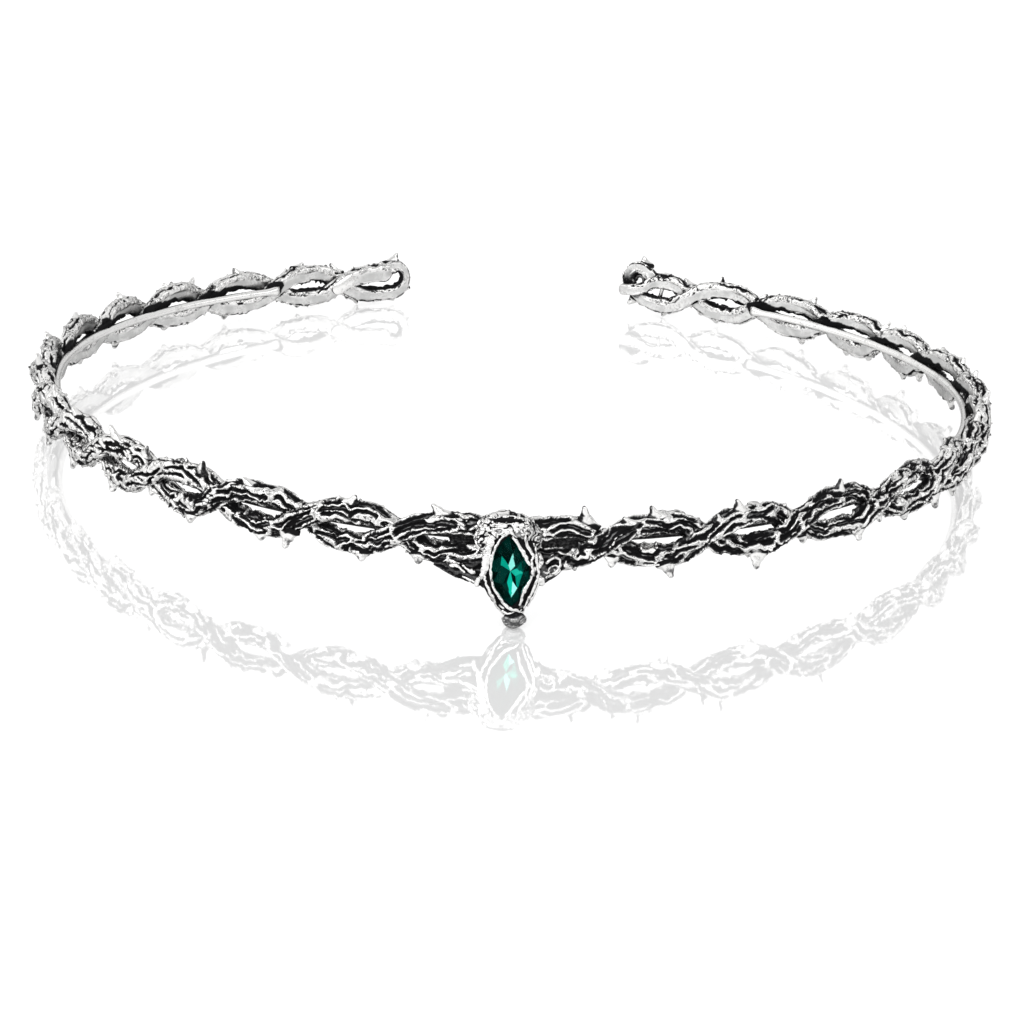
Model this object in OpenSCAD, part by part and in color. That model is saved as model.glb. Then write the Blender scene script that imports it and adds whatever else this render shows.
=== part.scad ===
// An open circlet of two thorny silver branches, with a marquise stone at the front.
// Millimetres. +Z is up, -Y is the wearer's front and the gap is at the back.
// It lies as it rests by itself: on the tip of the setting and on thorns at the back.
// A place on the ring is given as [along, out, up]: the length along the oval from
// its front middle (right is +), the distance outwards from it and the height over it.

/* [Ring] */
// Width of the oval, between the middles of the branches
ring_w = 154; // [135:1:175]
// Depth of the oval in front of its widest line
front_depth = 83; // [72:1:95]
// Depth of the oval behind its widest line
back_depth = 74.5; // [64:0.5:85]
// Roundness of the front half: 2 is an ellipse, and less is more pointed
front_round = 1.9; // [1.8:0.02:2.2]
// Roundness of the back half
back_round = 1.96; // [1.8:0.02:2.2]
// Gap at the back, between the outer ends of the two loops, along the oval
back_gap = 42; // [25:1:60]

/* [Branches] */
// Height of one branch
branch_w = 2.8; // [2.4:0.1:3.1]
// Thickness of one branch, from its flat inner face to its bark
branch_t = 2.2; // [1.9:0.1:2.6]
// Depth of the grooves in the bark
groove_depth = 0.45; // [0.2:0.05:0.55]
// How far a branch swings up and down over the middle of the band
weave_rise = 2.3; // [1.9:0.1:2.7]
// How far a branch lies in or out of the oval where the two cross
weave_depth = 0.75; // [0.6:0.05:0.8]
// Eyes between the branches on each arm
eye_count = 14; // [10:1:16]
// Length of each arm past its last crossing, with its end loop
end_len = 13.8; // [11:0.2:17]

/* [Thorns] */
// Length of the longest thorns beyond the branch
thorn_len = 2; // [1.2:0.1:2.4]
// Diameter of a thorn at its foot
thorn_foot = 2.4; // [1.6:0.1:2.8]
// Diameter of a thorn at its blunt tip
thorn_tip = 1; // [0.6:0.1:1.2]

/* [Support wire] */
// Diameter of the plain wire along the inside
wire_d = 1.3; // [1:0.1:1.8]
// How deep the wire is soldered into the branches
wire_seat = 0.2; // [0.15:0.05:0.4]
// Length of the wire on each arm, as a number of eyes
wire_eyes = 13; // [8:1:14]

/* [Plate] */
// Length of the plain plate on the left arm's last crossing
plate_len = 5; // [3.5:0.1:6.5]
// Height of the plate
plate_w = 2.5; // [1.8:0.1:3]
// How far the plate stands in from the branch
plate_t = 0.3; // [0.2:0.05:0.6]

/* [Stone] */
// Length of the marquise stone
stone_len = 10; // [8:0.5:12]
// Width of the stone
stone_w = 5; // [4:0.25:6]
// Size of the table, as a share of the stone's width and length
table_share = 0.56; // [0.45:0.01:0.65]
// Height of the crown, over the girdle
crown_h = 0.9; // [0.6:0.05:1.2]
// Thickness of the girdle
girdle_h = 0.2; // [0.1:0.05:0.4]
// Depth of the pavilion, under the girdle
pavilion_h = 1.9; // [1.4:0.1:2.3]
// Clearance between the stone and its seat
stone_gap = 0.1; // [0.05:0.05:0.2]

/* [Setting] */
// Wall of the bezel round the stone
bezel_wall = 1.4; // [1.1:0.1:1.8]
// Distance of the stone's girdle in front of the oval
stone_out = 2.7; // [2.4:0.1:3.4]
// How far the stone's middle lies under the middle of the band
stone_drop = 3.2; // [2.4:0.1:4.2]
// How far the stone's middle lies to the right of the front middle
stone_shift = 0.9; // [0:0.1:1.5]
// Turn of the setting in its own face, with its foot to the right
stone_turn = 4; // [0:0.5:8]
// Diameter of the twigs round the bezel
twig_d = 1.2; // [0.9:0.1:1.5]
// Diameter of the smooth knob at the setting's tip
knob_d = 3.1; // [2.2:0.1:3.8]

/* [Hidden] */

silver = "silver";
green = "seagreen";

// Length of each eye as a share of the mean, from the front middle to the end of an arm
RIGHT_EYES = [0.9, 1, 1, 1.15, 1.2, 0.9, 0.9, 0.9, 0.9, 1.2, 0.9, 1, 1.05, 0.95];
LEFT_EYES = [1, 0.95, 1, 0.95, 0.95, 1, 1, 1, 1, 1.1, 1, 1, 1.05, 0.95];

// Cross-section of a branch, once round: [out as a share of half the thickness,
// up as a share of half the height, share of the groove's depth]
SECTION = [
    [-1.00, -0.75, 0],
    [-1.00, 0.75, 0],
    [0.30, 1.00, 0],
    [1.00, 0.40, 0],
    [0.95, -0.10, 1],
    [0.80, -0.80, 0]
];

// Thorns: [eye, place along the eye, up (1) or down (-1), share of thorn_len]
LEFT_THORNS = [
    [1, 0.60, 1, 0.8], [1, 0.80, -1, 0.6],
    [2, 0.45, 1, 0.6], [2, 0.35, -1, 0.5],
    [3, 0.60, 1, 0.4], [3, 0.10, -1, 1.1], [3, 0.45, -1, 0.4],
    [4, 0.20, 1, 1.0], [4, 0.30, -1, 0.6], [4, 0.95, -1, 0.7],
    [5, 0.10, 1, 1.1], [5, 0.60, 1, 1.0], [5, 0.70, -1, 0.9],
    [6, 0.50, 1, 0.6], [6, 0.65, -1, 1.0],
    [7, 0.30, 1, 0.9], [7, 0.50, -1, 0.9],
    [8, 0.50, 1, 0.9], [8, 0.35, -1, 0.8],
    [9, 0.65, 1, 0.6], [9, 0.40, -1, 0.8],
    [10, 0.55, 1, 0.5], [10, 0.60, -1, 0.7],
    [11, 0.55, 1, 0.7], [11, 0.45, -1, 0.8],
    [12, 0.35, 1, 0.5], [12, 0.85, 1, 0.8], [12, 0.40, -1, 0.5],
    [13, 0.35, -1, 0.7], [13, 0.50, 1, 0.6],
    [14, 0.40, 1, 0.5], [14, 0.95, 1, 0.9], [14, 0.40, -1, 0.4]
];
RIGHT_THORNS = [
    [1, 0.75, 1, 1.1],
    [2, 0.20, 1, 0.5], [2, 0.45, 1, 0.8], [2, 0.12, -1, 0.7], [2, 0.60, -1, 1.0],
    [3, 0.10, 1, 0.6], [3, 0.30, 1, 0.9], [3, 0.60, -1, 1.1],
    [4, 0.45, 1, 0.9], [4, 0.15, -1, 0.5], [4, 0.75, -1, 0.8],
    [5, 0.20, 1, 0.6], [5, 0.10, -1, 0.7], [5, 0.45, -1, 0.5], [5, 0.90, -1, 1.1],
    [6, 0.15, 1, 0.9], [6, 0.55, -1, 0.7],
    [7, 0.50, 1, 0.8], [7, 0.35, -1, 0.8],
    [8, 0.40, 1, 1.1], [8, 0.60, -1, 0.7],
    [9, 0.55, 1, 0.6], [9, 0.45, -1, 0.8],
    [10, 0.25, 1, 0.5], [10, 0.40, -1, 1.1],
    [11, 0.55, 1, 0.5], [11, 0.08, -1, 1.0], [11, 0.55, -1, 0.9],
    [12, 0.06, 1, 1.0], [12, 0.20, -1, 0.6], [12, 0.65, -1, 0.7],
    [13, 0.35, -1, 0.7], [13, 0.25, 1, 0.6], [13, 0.90, 1, 0.5],
    [14, 0.55, 1, 0.6], [14, 0.65, -1, 0.5], [14, 0.88, -1, 0.6]
];

// Forms of the ends, outwards from the last crossing: [along as a share of end_len,
// out as a share of weave_depth, up as a share of weave_rise, size of the branch]
LEFT_LOOP = [
    [0.16, 0.8, -0.72, 1.00],
    [0.34, 0.5, -1.05, 1.00],
    [0.54, 0.2, -1.10, 0.92],
    [0.73, 0.0, -1.02, 0.88],
    [0.87, 0.0, -0.72, 0.80],
    [0.94, 0.0, -0.10, 0.70],
    [0.94, 0.0, 0.60, 0.66],
    [0.86, 0.0, 1.15, 0.66],
    [0.75, 0.0, 1.10, 0.80],
    [0.62, -0.3, 0.85, 0.50]
];
LEFT_ROOT = [
    [0.15, -1.0, 0.42, 1.00],
    [0.32, -0.8, 0.66, 1.05],
    [0.50, -0.6, 0.74, 1.10],
    [0.66, -0.3, 0.82, 1.05],
    [0.76, -0.1, 1.00, 0.50]
];
RIGHT_CURL = [
    [0.16, -0.9, -0.55, 1.00],
    [0.32, -0.6, -0.92, 1.00],
    [0.48, -0.3, -0.98, 0.95],
    [0.64, 0.0, -0.78, 0.90],
    [0.79, 0.2, -0.30, 0.82],
    [0.90, 0.4, 0.38, 0.78],
    [0.93, 0.5, 1.08, 0.76],
    [0.88, 0.5, 1.68, 0.76],
    [0.79, 0.4, 1.92, 0.76],
    [0.69, 0.2, 1.72, 0.76],
    [0.61, 0.0, 1.32, 0.82],
    [0.54, 0.0, 0.98, 0.50]
];
RIGHT_BAR = [
    [0.16, 0.8, 0.60, 1.00],
    [0.32, 0.5, 0.92, 1.00],
    [0.46, 0.1, 0.98, 1.00],
    [0.57, -0.6, 0.80, 0.80],
    [0.68, -1.5, 0.42, 0.70],
    [0.80, -2.0, 0.24, 0.70],
    [1.03, -2.1, 0.10, 0.78]
];
// Thorns on the ends: [along, out and up as above, way along the arm, way up,
// share of the thorn's length]. The circlet rests on the first thorn of either table
LEFT_END_THORNS = [
    [0.27, 0.6, -0.90, 0.0, -1.0, 0.6],
    [0.80, 0.0, 1.00, 0.1, 1.0, 0.8],
    [0.76, 0.0, -1.00, 0.2, -1.0, 0.3],
    [0.91, 0.0, -0.40, 1.0, -0.6, 0.3]
];
RIGHT_END_THORNS = [
    [0.40, -0.4, -0.98, 0.0, -1.0, 0.5],
    [0.74, 0.3, 1.85, -0.1, 1.0, 0.5],
    [0.82, 0.2, -0.20, 0.5, -1.0, 0.9],
    [0.10, 0.8, 0.42, 0.1, 1.0, 0.5]
];

// Steps of the oval's length table, on one half
oval_steps = 240;
// Rings along one eye
rings_per_eye = 4;
// How much fuller than a plain wave an eye is
eye_fullness = 0.08;
// How far the ridges of the bark wander, as a share of half the branch's height
ridge_wander = 0.11;
// Least depth of a groove, as a share of groove_depth
least_groove = 0.5;
// Length between two rings of the wire
wire_step = 7.5;
// Sides of the wire and of the twigs round the bezel
wire_sides = 6;
// Sides of a thorn
thorn_sides = 5;
// How far a thorn leans along the oval, at most, for each millimetre up
thorn_lean = 0.3;
// How far a thorn leans outwards for each millimetre up
thorn_out = 0.25;
// Steps along one side of the stone's outline
stone_steps = 6;
// Half the length of the pavilion's keel
keel = stone_len * 0.12;
// How far the bezel's lip reaches over the edge of the crown
lip_over = 0.3;
// How far the back of the bezel lies behind the oval, past the bark of the branches
bezel_back = weave_depth * 0.6;
// Where the webs at the setting's flanks leave the band, from the stone's middle
left_wing = 10.5;
right_wing = 8;
// A thickness too thin to matter, for flat faces that are hulled with others
film = 0.01;

// The oval

// Place on the right half of the oval: turn 0 is the front middle, 180 the back middle
function oval(turn) =
    let (front = turn < 90)
    let (power = 2 / (front ? front_round : back_round))
    let (depth = front ? -front_depth : back_depth)
    [ring_w / 2 * pow(sin(turn), power), depth * pow(abs(cos(turn)), power)];

turns = [for (i = [0:oval_steps]) 180 * i / oval_steps];
oval_points = [for (turn = turns) oval(turn)];
// Rows of [length from the front middle, turn]
length_rows = [
    for (i = 0, sum = 0; i <= oval_steps;
        sum = sum + norm(oval_points[min(i + 1, oval_steps)] - oval_points[i]), i = i + 1)
    [sum, turns[i]]
];
half_len = length_rows[oval_steps][0];
arm_len = half_len - back_gap / 2;

function on_oval(along) =
    let (p = oval(lookup(abs(along), length_rows)))
    [sign(along) * p[0], p[1]];

// Unit vectors along the oval and outwards from it
function ahead(along) =
    let (d = on_oval(along + 0.4) - on_oval(along - 0.4))
    [d[0], d[1], 0] / norm(d);
function outwards(along) = let (d = ahead(along)) [d[1], -d[0], 0];
function place(along, out, up) =
    let (p = on_oval(along))
    [p[0], p[1], up] + out * outwards(along);

// The weave

// Sum of the first shares, which are used again from the first where eyes outnumber them
function share_sum(shares, count) =
    count == 0 ? 0 : shares[(count - 1) % len(shares)] + share_sum(shares, count - 1);

// Rows of [crossing, length from the front middle]
function crossing_rows(shares) = [
    for (i = [0:eye_count])
    [i, (arm_len - end_len) * share_sum(shares, i) / share_sum(shares, eye_count)]
];
right_crossings = crossing_rows(RIGHT_EYES);
left_crossings = crossing_rows(LEFT_EYES);

// Length along the oval at a number of eyes from the front middle, left is negative
function eye_place(eyes) =
    eyes < 0 ? -lookup(-eyes, left_crossings) : lookup(eyes, right_crossings);

// Out and up of branch 0 or 1 at a number of eyes: a twist with one turn in two eyes
function weave_out(eyes, branch) = weave_depth * cos(180 * (eyes + branch));
function weave_up(eyes, branch) =
    let (phase = 180 * (eyes + branch))
    weave_rise * ((1 + eye_fullness) * sin(phase) + eye_fullness * sin(3 * phase));

// Rows of [along, out, up, size] for the woven run, from the left arm to the right
function weave_rows(branch) = [
    for (i = [-eye_count * rings_per_eye:eye_count * rings_per_eye])
    let (eyes = i / rings_per_eye)
    [eye_place(eyes), weave_out(eyes, branch), weave_up(eyes, branch), 1]
];

// Length along the oval at a share of an arm's end form, side is -1 for the left arm
function end_place(share, side) = side * (arm_len - end_len + share * end_len);

// The same rows for an end form, in reading order or from its last row to its first
function end_rows(form, side, backwards = false) = [
    for (i = [0:len(form) - 1])
    let (row = form[backwards ? len(form) - 1 - i : i])
    [end_place(row[0], side), row[1] * weave_depth, row[2] * weave_rise, row[3]]
];

// Skins

// A number from -1 to 1 that wanders from ring i to ring and from ridge j to ridge
function wander(i, j) = sin(137.5 * i + 71 * j) * cos(53 * i - 29 * j);

// One ring of a branch: the section, in the plane across the path
function branch_ring(rows, i, branch) =
    let (row = rows[i])
    let (here = place(row[0], row[1], row[2]))
    let (before = rows[max(i - 1, 0)])
    let (after = rows[min(i + 1, len(rows) - 1)])
    let (d = place(after[0], after[1], after[2]) - place(before[0], before[1], before[2]))
    let (along = d / norm(d))
    let (face = outwards(row[0]))
    let (o = face - (face * along) * along)
    let (out = o / norm(o))
    let (up = cross(out, along))
    [
        for (j = [0:len(SECTION) - 1])
        let (bark = SECTION[j][0] > 0 ? 1 : 0)
        let (shift = bark * ridge_wander * wander(i, j + 5 * branch))
        let (least = least_groove, more = (1 - least_groove) * abs(wander(i, j + 9)))
        let (groove = SECTION[j][2] * groove_depth * (least + more))
        here
            + row[3] * (SECTION[j][0] * branch_t / 2 - groove) * out
            + row[3] * (SECTION[j][1] + shift) * branch_w / 2 * up
    ];

// One round ring across a path of points, which is closed or open
function round_ring(path, i, d, sides, face, closed) =
    let (count = len(path))
    let (before = closed ? (i + count - 1) % count : max(i - 1, 0))
    let (after = closed ? (i + 1) % count : min(i + 1, count - 1))
    let (v = path[after] - path[before])
    let (along = v / norm(v))
    let (a = cross(along, face) / norm(cross(along, face)))
    let (b = cross(along, a))
    [
        for (j = [0:sides - 1])
        path[i] + d / 2 * (cos(360 * j / sides) * a + sin(360 * j / sides) * b)
    ];

// Closed skin over rings of equal counts of points, capped or joined into a loop
module skin(rings, loop = false) {
    sides = len(rings[0]);
    count = len(rings);
    end = (count - 1) * sides;
    walls = [
        for (i = [0:count - (loop ? 1 : 2)], j = [0:sides - 1], half = [0, 1])
        let (k = (j + 1) % sides)
        let (here = i * sides, next = (i + 1) % count * sides)
        half == 0 ? [here + j, next + k, here + k] : [here + j, next + j, next + k]
    ];
    caps = loop ? [] : [
        for (j = [1:sides - 2]) [0, j, j + 1],
        for (j = [1:sides - 2]) [end, end + j + 1, end + j]
    ];
    polyhedron(points = [for (ring = rings) each ring], faces = concat(walls, caps));
}

// A limb with rounded ends from a to b
module limb(a, b, d_a, d_b) {
    hull() {
        translate(a) sphere(d = d_a, $fn = 6);
        translate(b) sphere(d = d_b, $fn = 6);
    }
}

// The band

// One branch of the band from end to end, through its form at the left and the right
module branch(number, left_form, right_form) {
    rows = concat(
        end_rows(left_form, -1, backwards = true),
        weave_rows(number),
        end_rows(right_form, 1)
    );
    skin([for (i = [0:len(rows) - 1]) branch_ring(rows, i, number)]);
}

// The twig across the last eye of the right arm
module cross_twig() {
    limb(
        place(end_place(0.42, 1), 0, 0.9 * weave_rise),
        place(end_place(0.47, 1), 0, -0.9 * weave_rise),
        wire_d * 0.6,
        wire_d * 0.8
    );
}

// A blunt thorn from foot, inside the branch, along way
module thorn(foot, way, reach) {
    translate(foot)
        rotate([0, acos(way[2] / norm(way)), atan2(way[1], way[0])])
        cylinder(h = reach, d1 = thorn_foot, d2 = thorn_tip, $fn = thorn_sides);
}

// Foot, way and reach of a thorn of the table; it grows on the branch that is the upper
// or the lower one there
function thorn_branch(eyes, up) = weave_up(eyes, 0) * up > 0 ? 0 : 1;
function thorn_foot_at(eyes, up) =
    let (number = thorn_branch(eyes, up))
    place(eye_place(eyes), weave_out(eyes, number), weave_up(eyes, number));
function thorn_way(eyes, up, lean) =
    let (along = eye_place(eyes))
    [0, 0, up] + thorn_out * outwards(along) + thorn_lean * lean * ahead(along);
function thorn_reach(share) = branch_w / 2 + share * thorn_len;

module arm_thorns(rows, side) {
    for (i = [0:len(rows) - 1])
        if (rows[i][0] <= eye_count) {
            eyes = side * (rows[i][0] - 1 + rows[i][1]);
            up = rows[i][2];
            thorn(
                thorn_foot_at(eyes, up),
                thorn_way(eyes, up, wander(i, side)),
                thorn_reach(rows[i][3])
            );
        }
}

// Foot and way of a thorn on an end
function end_thorn_foot(row, side) =
    place(end_place(row[0], side), row[1] * weave_depth, row[2] * weave_rise);
function end_thorn_way(row, side) =
    let (along = end_place(row[0], side))
    [0, 0, row[4]] + side * row[3] * ahead(along) + thorn_out * outwards(along);

module end_thorns(rows, side) {
    for (row = rows)
        thorn(end_thorn_foot(row, side), end_thorn_way(row, side), thorn_reach(row[5]));
}

// Middle of the wire, in from the oval: it touches the inner branch at each crossing
wire_in = weave_depth + branch_t / 2 + wire_d / 2 - wire_seat;

module support_wire() {
    from = eye_place(-wire_eyes);
    to = eye_place(wire_eyes);
    steps = ceil((to - from) / wire_step);
    path = [for (i = [0:steps]) place(from + (to - from) * i / steps, -wire_in, 0)];
    skin([for (i = [0:steps]) round_ring(path, i, wire_d, wire_sides, [0, 0, 1], false)]);
}

// The plain plate lies along the inner branch over the last crossing of the left arm
module plate() {
    along = eye_place(-eye_count);
    near = 0.1 - eye_count;
    inner = eye_count % 2 == 0 ? 1 : 0;
    slope = atan2(weave_up(near, inner), eye_place(near) - along);
    way = ahead(along);
    translate(place(along, -weave_depth - branch_t / 2, 0))
        rotate([0, -slope, atan2(way[1], way[0])])
        hull() for (x = [-1, 1])
            translate([x * (plate_len - plate_w) / 2, plate_t, 0])
            rotate([90, 0, 0])
            cylinder(h = plate_t + branch_t / 2, d = plate_w, center = true, $fn = 12);
}

// The setting. In its own frame the middle of the stone's girdle is the origin, -Y is
// out of the face and Z is along the stone

module at_setting() {
    translate([stone_shift, -front_depth - stone_out, -stone_drop])
        rotate([0, -stone_turn, 0])
        children();
}

// Marquise outline in the face, two arcs that meet in two points, grown by edge
function marquise(edge, depth) =
    let (w = stone_w / 2, l = stone_len / 2)
    let (r = (l * l + w * w) / (2 * w))
    let (half_arc = asin(l / r))
    [
        for (side = [1, -1], i = [0:stone_steps - 1])
        let (a = side * half_arc * (1 - 2 * i / stone_steps))
        let (way = i == 0 ? [0, side] : [side * cos(a), sin(a)])
        [side * (r * cos(a) - r + w) + edge * way[0], depth, r * sin(a) + edge * way[1]]
    ];

// A film with the outline of the given points
module flat(points) {
    count = len(points);
    polyhedron(
        points = concat(points, [for (p = points) p + [0, film, 0]]),
        faces = concat(
            [[for (i = [count - 1:-1:0]) i]],
            [[for (i = [0:count - 1]) i + count]],
            [
                for (i = [0:count - 1])
                let (k = (i + 1) % count)
                [i, k, k + count, i + count]
            ]
        )
    );
}

// A slab with the marquise outline from depth a to depth b
module marquise_slab(edge, a, b) {
    hull() {
        flat(marquise(edge, a));
        flat(marquise(edge, b - film));
    }
}

// A cut stone with table, crown, girdle and pavilion, grown by edge all round
module cut_stone(edge) {
    top = -girdle_h / 2 - crown_h - edge;
    outline = marquise(0, top);
    hull() {
        flat([
            for (i = [0:2:len(outline) - 1])
            [table_share * outline[i][0], top, table_share * outline[i][2]]
        ]);
        flat(marquise(edge, -girdle_h / 2));
        flat(marquise(edge, girdle_h / 2 - film));
        for (z = [-keel, keel])
            translate([0, girdle_h / 2 + pavilion_h + edge, z])
            cube(film, center = true);
    }
}

// The hollow for the stone, open to the front inside the lip
module stone_seat() {
    cut_stone(stone_gap);
    marquise_slab(-lip_over, -crown_h - girdle_h - twig_d, 0);
}

// A crooked twig round the bezel, at an edge distance and a depth
module bezel_twig(edge, depth, d, phase) {
    points = marquise(edge, depth);
    count = len(points);
    path = [
        for (i = [0:count - 1])
        points[i] + 0.12 * d * [wander(i, phase), wander(i, phase + 3), 0]
    ];
    skin(
        [for (i = [0:count - 1]) round_ring(path, i, d, wire_sides, [0, -1, 0], true)],
        loop = true
    );
}

knob_z = -stone_len / 2 - bezel_wall - knob_d * 0.1;

module bezel() {
    marquise_slab(bezel_wall * 0.85, 0, stone_out + bezel_back);
    bezel_twig(twig_d * 0.3, -crown_h * 0.5, twig_d * 0.9, 1);
    bezel_twig(bezel_wall * 0.8, girdle_h, twig_d * 1.1, 4);
    translate([0, girdle_h, knob_z]) sphere(d = knob_d, $fn = 10);
}

// The bark saddle that carries the bezel over the top of the band
module saddle() {
    top = stone_drop + weave_rise + branch_w / 2 + twig_d * 0.55;
    hull() {
        for (x = [-0.62, 0.62]) {
            translate([x * stone_w, stone_out * 0.35, top - twig_d])
                sphere(d = twig_d * 2, $fn = 6);
            translate([x * stone_w, stone_out * 1.2, top - twig_d * 1.2])
                sphere(d = twig_d * 1.8, $fn = 6);
            translate([x * stone_w * 0.7, 0, stone_len * 0.36])
                sphere(d = twig_d * 1.5, $fn = 6);
        }
    }
    for (x = [-0.5, 0, 0.5])
        limb(
            [x * stone_w * 0.9, -girdle_h, stone_len * (0.5 - abs(x) * 0.25)],
            [x * stone_w * 1.5, stone_out * 0.3, top - twig_d * 0.4],
            twig_d,
            twig_d
        );
}

// Webs of bark from the lower edge of the band to the flanks of the setting
module wings() {
    edge_z = stone_drop - weave_rise - branch_w * 0.1;
    for (side = [-1, 1]) {
        reach = side < 0 ? left_wing : right_wing;
        low = [side * stone_w * 0.76, stone_out * 0.55, -stone_len * 0.265];
        corners = [
            [side * reach, stone_out, edge_z],
            [side * stone_w * 0.7, stone_out * 0.6, edge_z],
            [side * (reach + stone_w) * 0.5, stone_out * 0.7, -stone_len * 0.14],
            low
        ];
        hull() {
            for (corner = corners)
                translate(corner) sphere(d = twig_d * 1.3, $fn = 6);
        }
        thorn(low, [side * 0.4, -0.2, -1], branch_w / 2 + thorn_len * 0.2);
    }
}

// The rest: it leans on the knob and on the rest thorn of either arm

// Lowest point of a thorn on an end: the lower edge of its blunt tip
function end_thorn_low(row, side) =
    let (way = end_thorn_way(row, side) / norm(end_thorn_way(row, side)))
    end_thorn_foot(row, side) + thorn_reach(row[5]) * way
        - [0, 0, thorn_tip / 2 * sqrt(1 - way[2] * way[2])];
knob_low = [stone_shift - sin(stone_turn) * knob_z, -front_depth - stone_out + girdle_h,
    -stone_drop + knob_z * cos(stone_turn) - knob_d / 2];
rest_low = (end_thorn_low(LEFT_END_THORNS[0], -1) + end_thorn_low(RIGHT_END_THORNS[0], 1)) / 2;
rest_lean = atan((rest_low[2] - knob_low[2]) / (rest_low[1] - knob_low[1]));
rest_lift = knob_low[1] * sin(rest_lean) - knob_low[2] * cos(rest_lean);
back_y = on_oval(arm_len)[1] + branch_t / 2;
front_y = -front_depth - stone_out - crown_h;
middle_y = (back_y + front_y) / 2;

module as_it_rests() {
    translate([0, -middle_y, rest_lift]) rotate([-rest_lean, 0, 0]) children();
}

module thorn_band() {
    color(silver)
        as_it_rests()
        difference() {
            union() {
                branch(0, LEFT_LOOP, RIGHT_BAR);
                branch(1, LEFT_ROOT, RIGHT_CURL);
                cross_twig();
                arm_thorns(LEFT_THORNS, -1);
                arm_thorns(RIGHT_THORNS, 1);
                end_thorns(LEFT_END_THORNS, -1);
                end_thorns(RIGHT_END_THORNS, 1);
                support_wire();
                plate();
                at_setting() {
                    bezel();
                    saddle();
                    wings();
                }
            }
            at_setting() stone_seat();
        }
}

module stone() {
    color(green) as_it_rests() at_setting() cut_stone(0);
}

thorn_band();
stone();
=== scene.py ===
# %% [markdown]
# # A thorny silver circlet with a green marquise stone
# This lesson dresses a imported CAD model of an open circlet. Two silver branches are twisted
# round each other, and a setting at the front holds a long green stone. The CAD model gives
# every place and size. What it can't show is the bark, the black oxide in its grooves, the
# satin inner face and the fire of the stone, and those are made here.

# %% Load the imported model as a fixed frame
import math

import bmesh
import bpy
import numpy as np
from mathutils import Matrix, Vector


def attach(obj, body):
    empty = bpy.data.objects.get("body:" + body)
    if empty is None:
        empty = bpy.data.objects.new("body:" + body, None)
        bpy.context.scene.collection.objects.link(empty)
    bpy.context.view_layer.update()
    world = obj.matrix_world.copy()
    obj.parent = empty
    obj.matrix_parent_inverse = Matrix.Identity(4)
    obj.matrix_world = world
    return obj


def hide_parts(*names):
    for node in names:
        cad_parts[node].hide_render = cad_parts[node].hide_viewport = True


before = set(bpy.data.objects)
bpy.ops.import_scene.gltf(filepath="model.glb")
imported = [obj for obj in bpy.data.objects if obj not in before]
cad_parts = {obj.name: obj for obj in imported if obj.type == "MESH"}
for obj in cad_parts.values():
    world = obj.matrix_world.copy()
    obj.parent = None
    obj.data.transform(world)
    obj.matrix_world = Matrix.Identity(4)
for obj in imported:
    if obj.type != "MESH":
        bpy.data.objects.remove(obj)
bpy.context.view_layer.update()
MM = 0.001

# %% [markdown]
# ## The camera
# The photograph looks down on the circlet at a shallow angle from a short distance, so its
# front is drawn larger than its back. The camera stands where that perspective comes from,
# and is rolled a little, because the picture is slightly crooked.

# %% Camera
CAMERA_AT = Vector((0.0, -402.6, 138.5)) * MM
CAMERA_AIM = Vector((0.8, -62.8, 10.75)) * MM
CAMERA_ROLL = 2.42

camera_data = bpy.data.cameras.new("camera")
camera_data.lens = 90.7
camera_data.sensor_width = 36
camera_data.clip_start = 0.01
camera_data.clip_end = 50
camera = bpy.data.objects.new("camera", camera_data)
bpy.context.collection.objects.link(camera)
look = (CAMERA_AIM - CAMERA_AT).to_track_quat("-Z", "Y").to_matrix().to_4x4()
roll = Matrix.Rotation(math.radians(CAMERA_ROLL), 4, "Z")
camera.matrix_world = Matrix.Translation(CAMERA_AT) @ look @ roll
bpy.context.scene.camera = camera
print("camera at", list(CAMERA_AT))

# %% [markdown]
# ## Places on the ring
# A maker of such a band works along it: so many millimetres from the front, so far out, so
# far up. The same three numbers are used here. They are turned into space by an oval whose
# front half is deeper than its back half, with the sizes of the CAD model.

# %% The oval
RING_W = 154
FRONT_DEPTH = 83
BACK_DEPTH = 74.5
FRONT_ROUND = 1.9
BACK_ROUND = 1.96
BACK_GAP = 42
OVAL_STEPS = 240


def unit(vectors):
    """The same directions with a length of one."""
    return vectors / np.linalg.norm(vectors, axis=-1, keepdims=True)


def oval(turn):
    """Right half of the oval. Sideways it is the half width times a power of the turn's sine,
    and forwards the depth times the same power of the cosine: a superellipse."""
    front = turn < np.pi / 2
    power = np.where(front, 2 / FRONT_ROUND, 2 / BACK_ROUND)
    depth = np.where(front, -FRONT_DEPTH, BACK_DEPTH)
    sine = np.clip(np.sin(turn), 0, 1)
    return np.stack([RING_W / 2 * sine**power, depth * np.abs(np.cos(turn)) ** power], -1)


TURNS = np.linspace(0, np.pi, OVAL_STEPS + 1)
STEPS = np.linalg.norm(np.diff(oval(TURNS), axis=0), axis=1)
LENGTHS = np.concatenate([[0], np.cumsum(STEPS)])
ARM_LEN = LENGTHS[-1] - BACK_GAP / 2
print("length of one arm:", round(ARM_LEN, 2), "mm")


# %% From ring places to space
def on_oval(along):
    """Point of the oval at a length from its front middle; a negative length is on the left."""
    point = oval(np.interp(np.abs(along), LENGTHS, TURNS))
    return point * np.stack([np.sign(along), np.ones_like(along)], -1)


def ahead(along):
    """Unit way along the oval, from the difference of two near points."""
    d = on_oval(along + 0.4) - on_oval(along - 0.4)
    return unit(np.concatenate([d, np.zeros_like(d[..., :1])], -1))


def outwards(along):
    """Unit way out of the oval: the way along it, turned by a quarter."""
    d = ahead(along)
    return np.stack([d[..., 1], -d[..., 0], np.zeros_like(d[..., 0])], -1)


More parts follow.
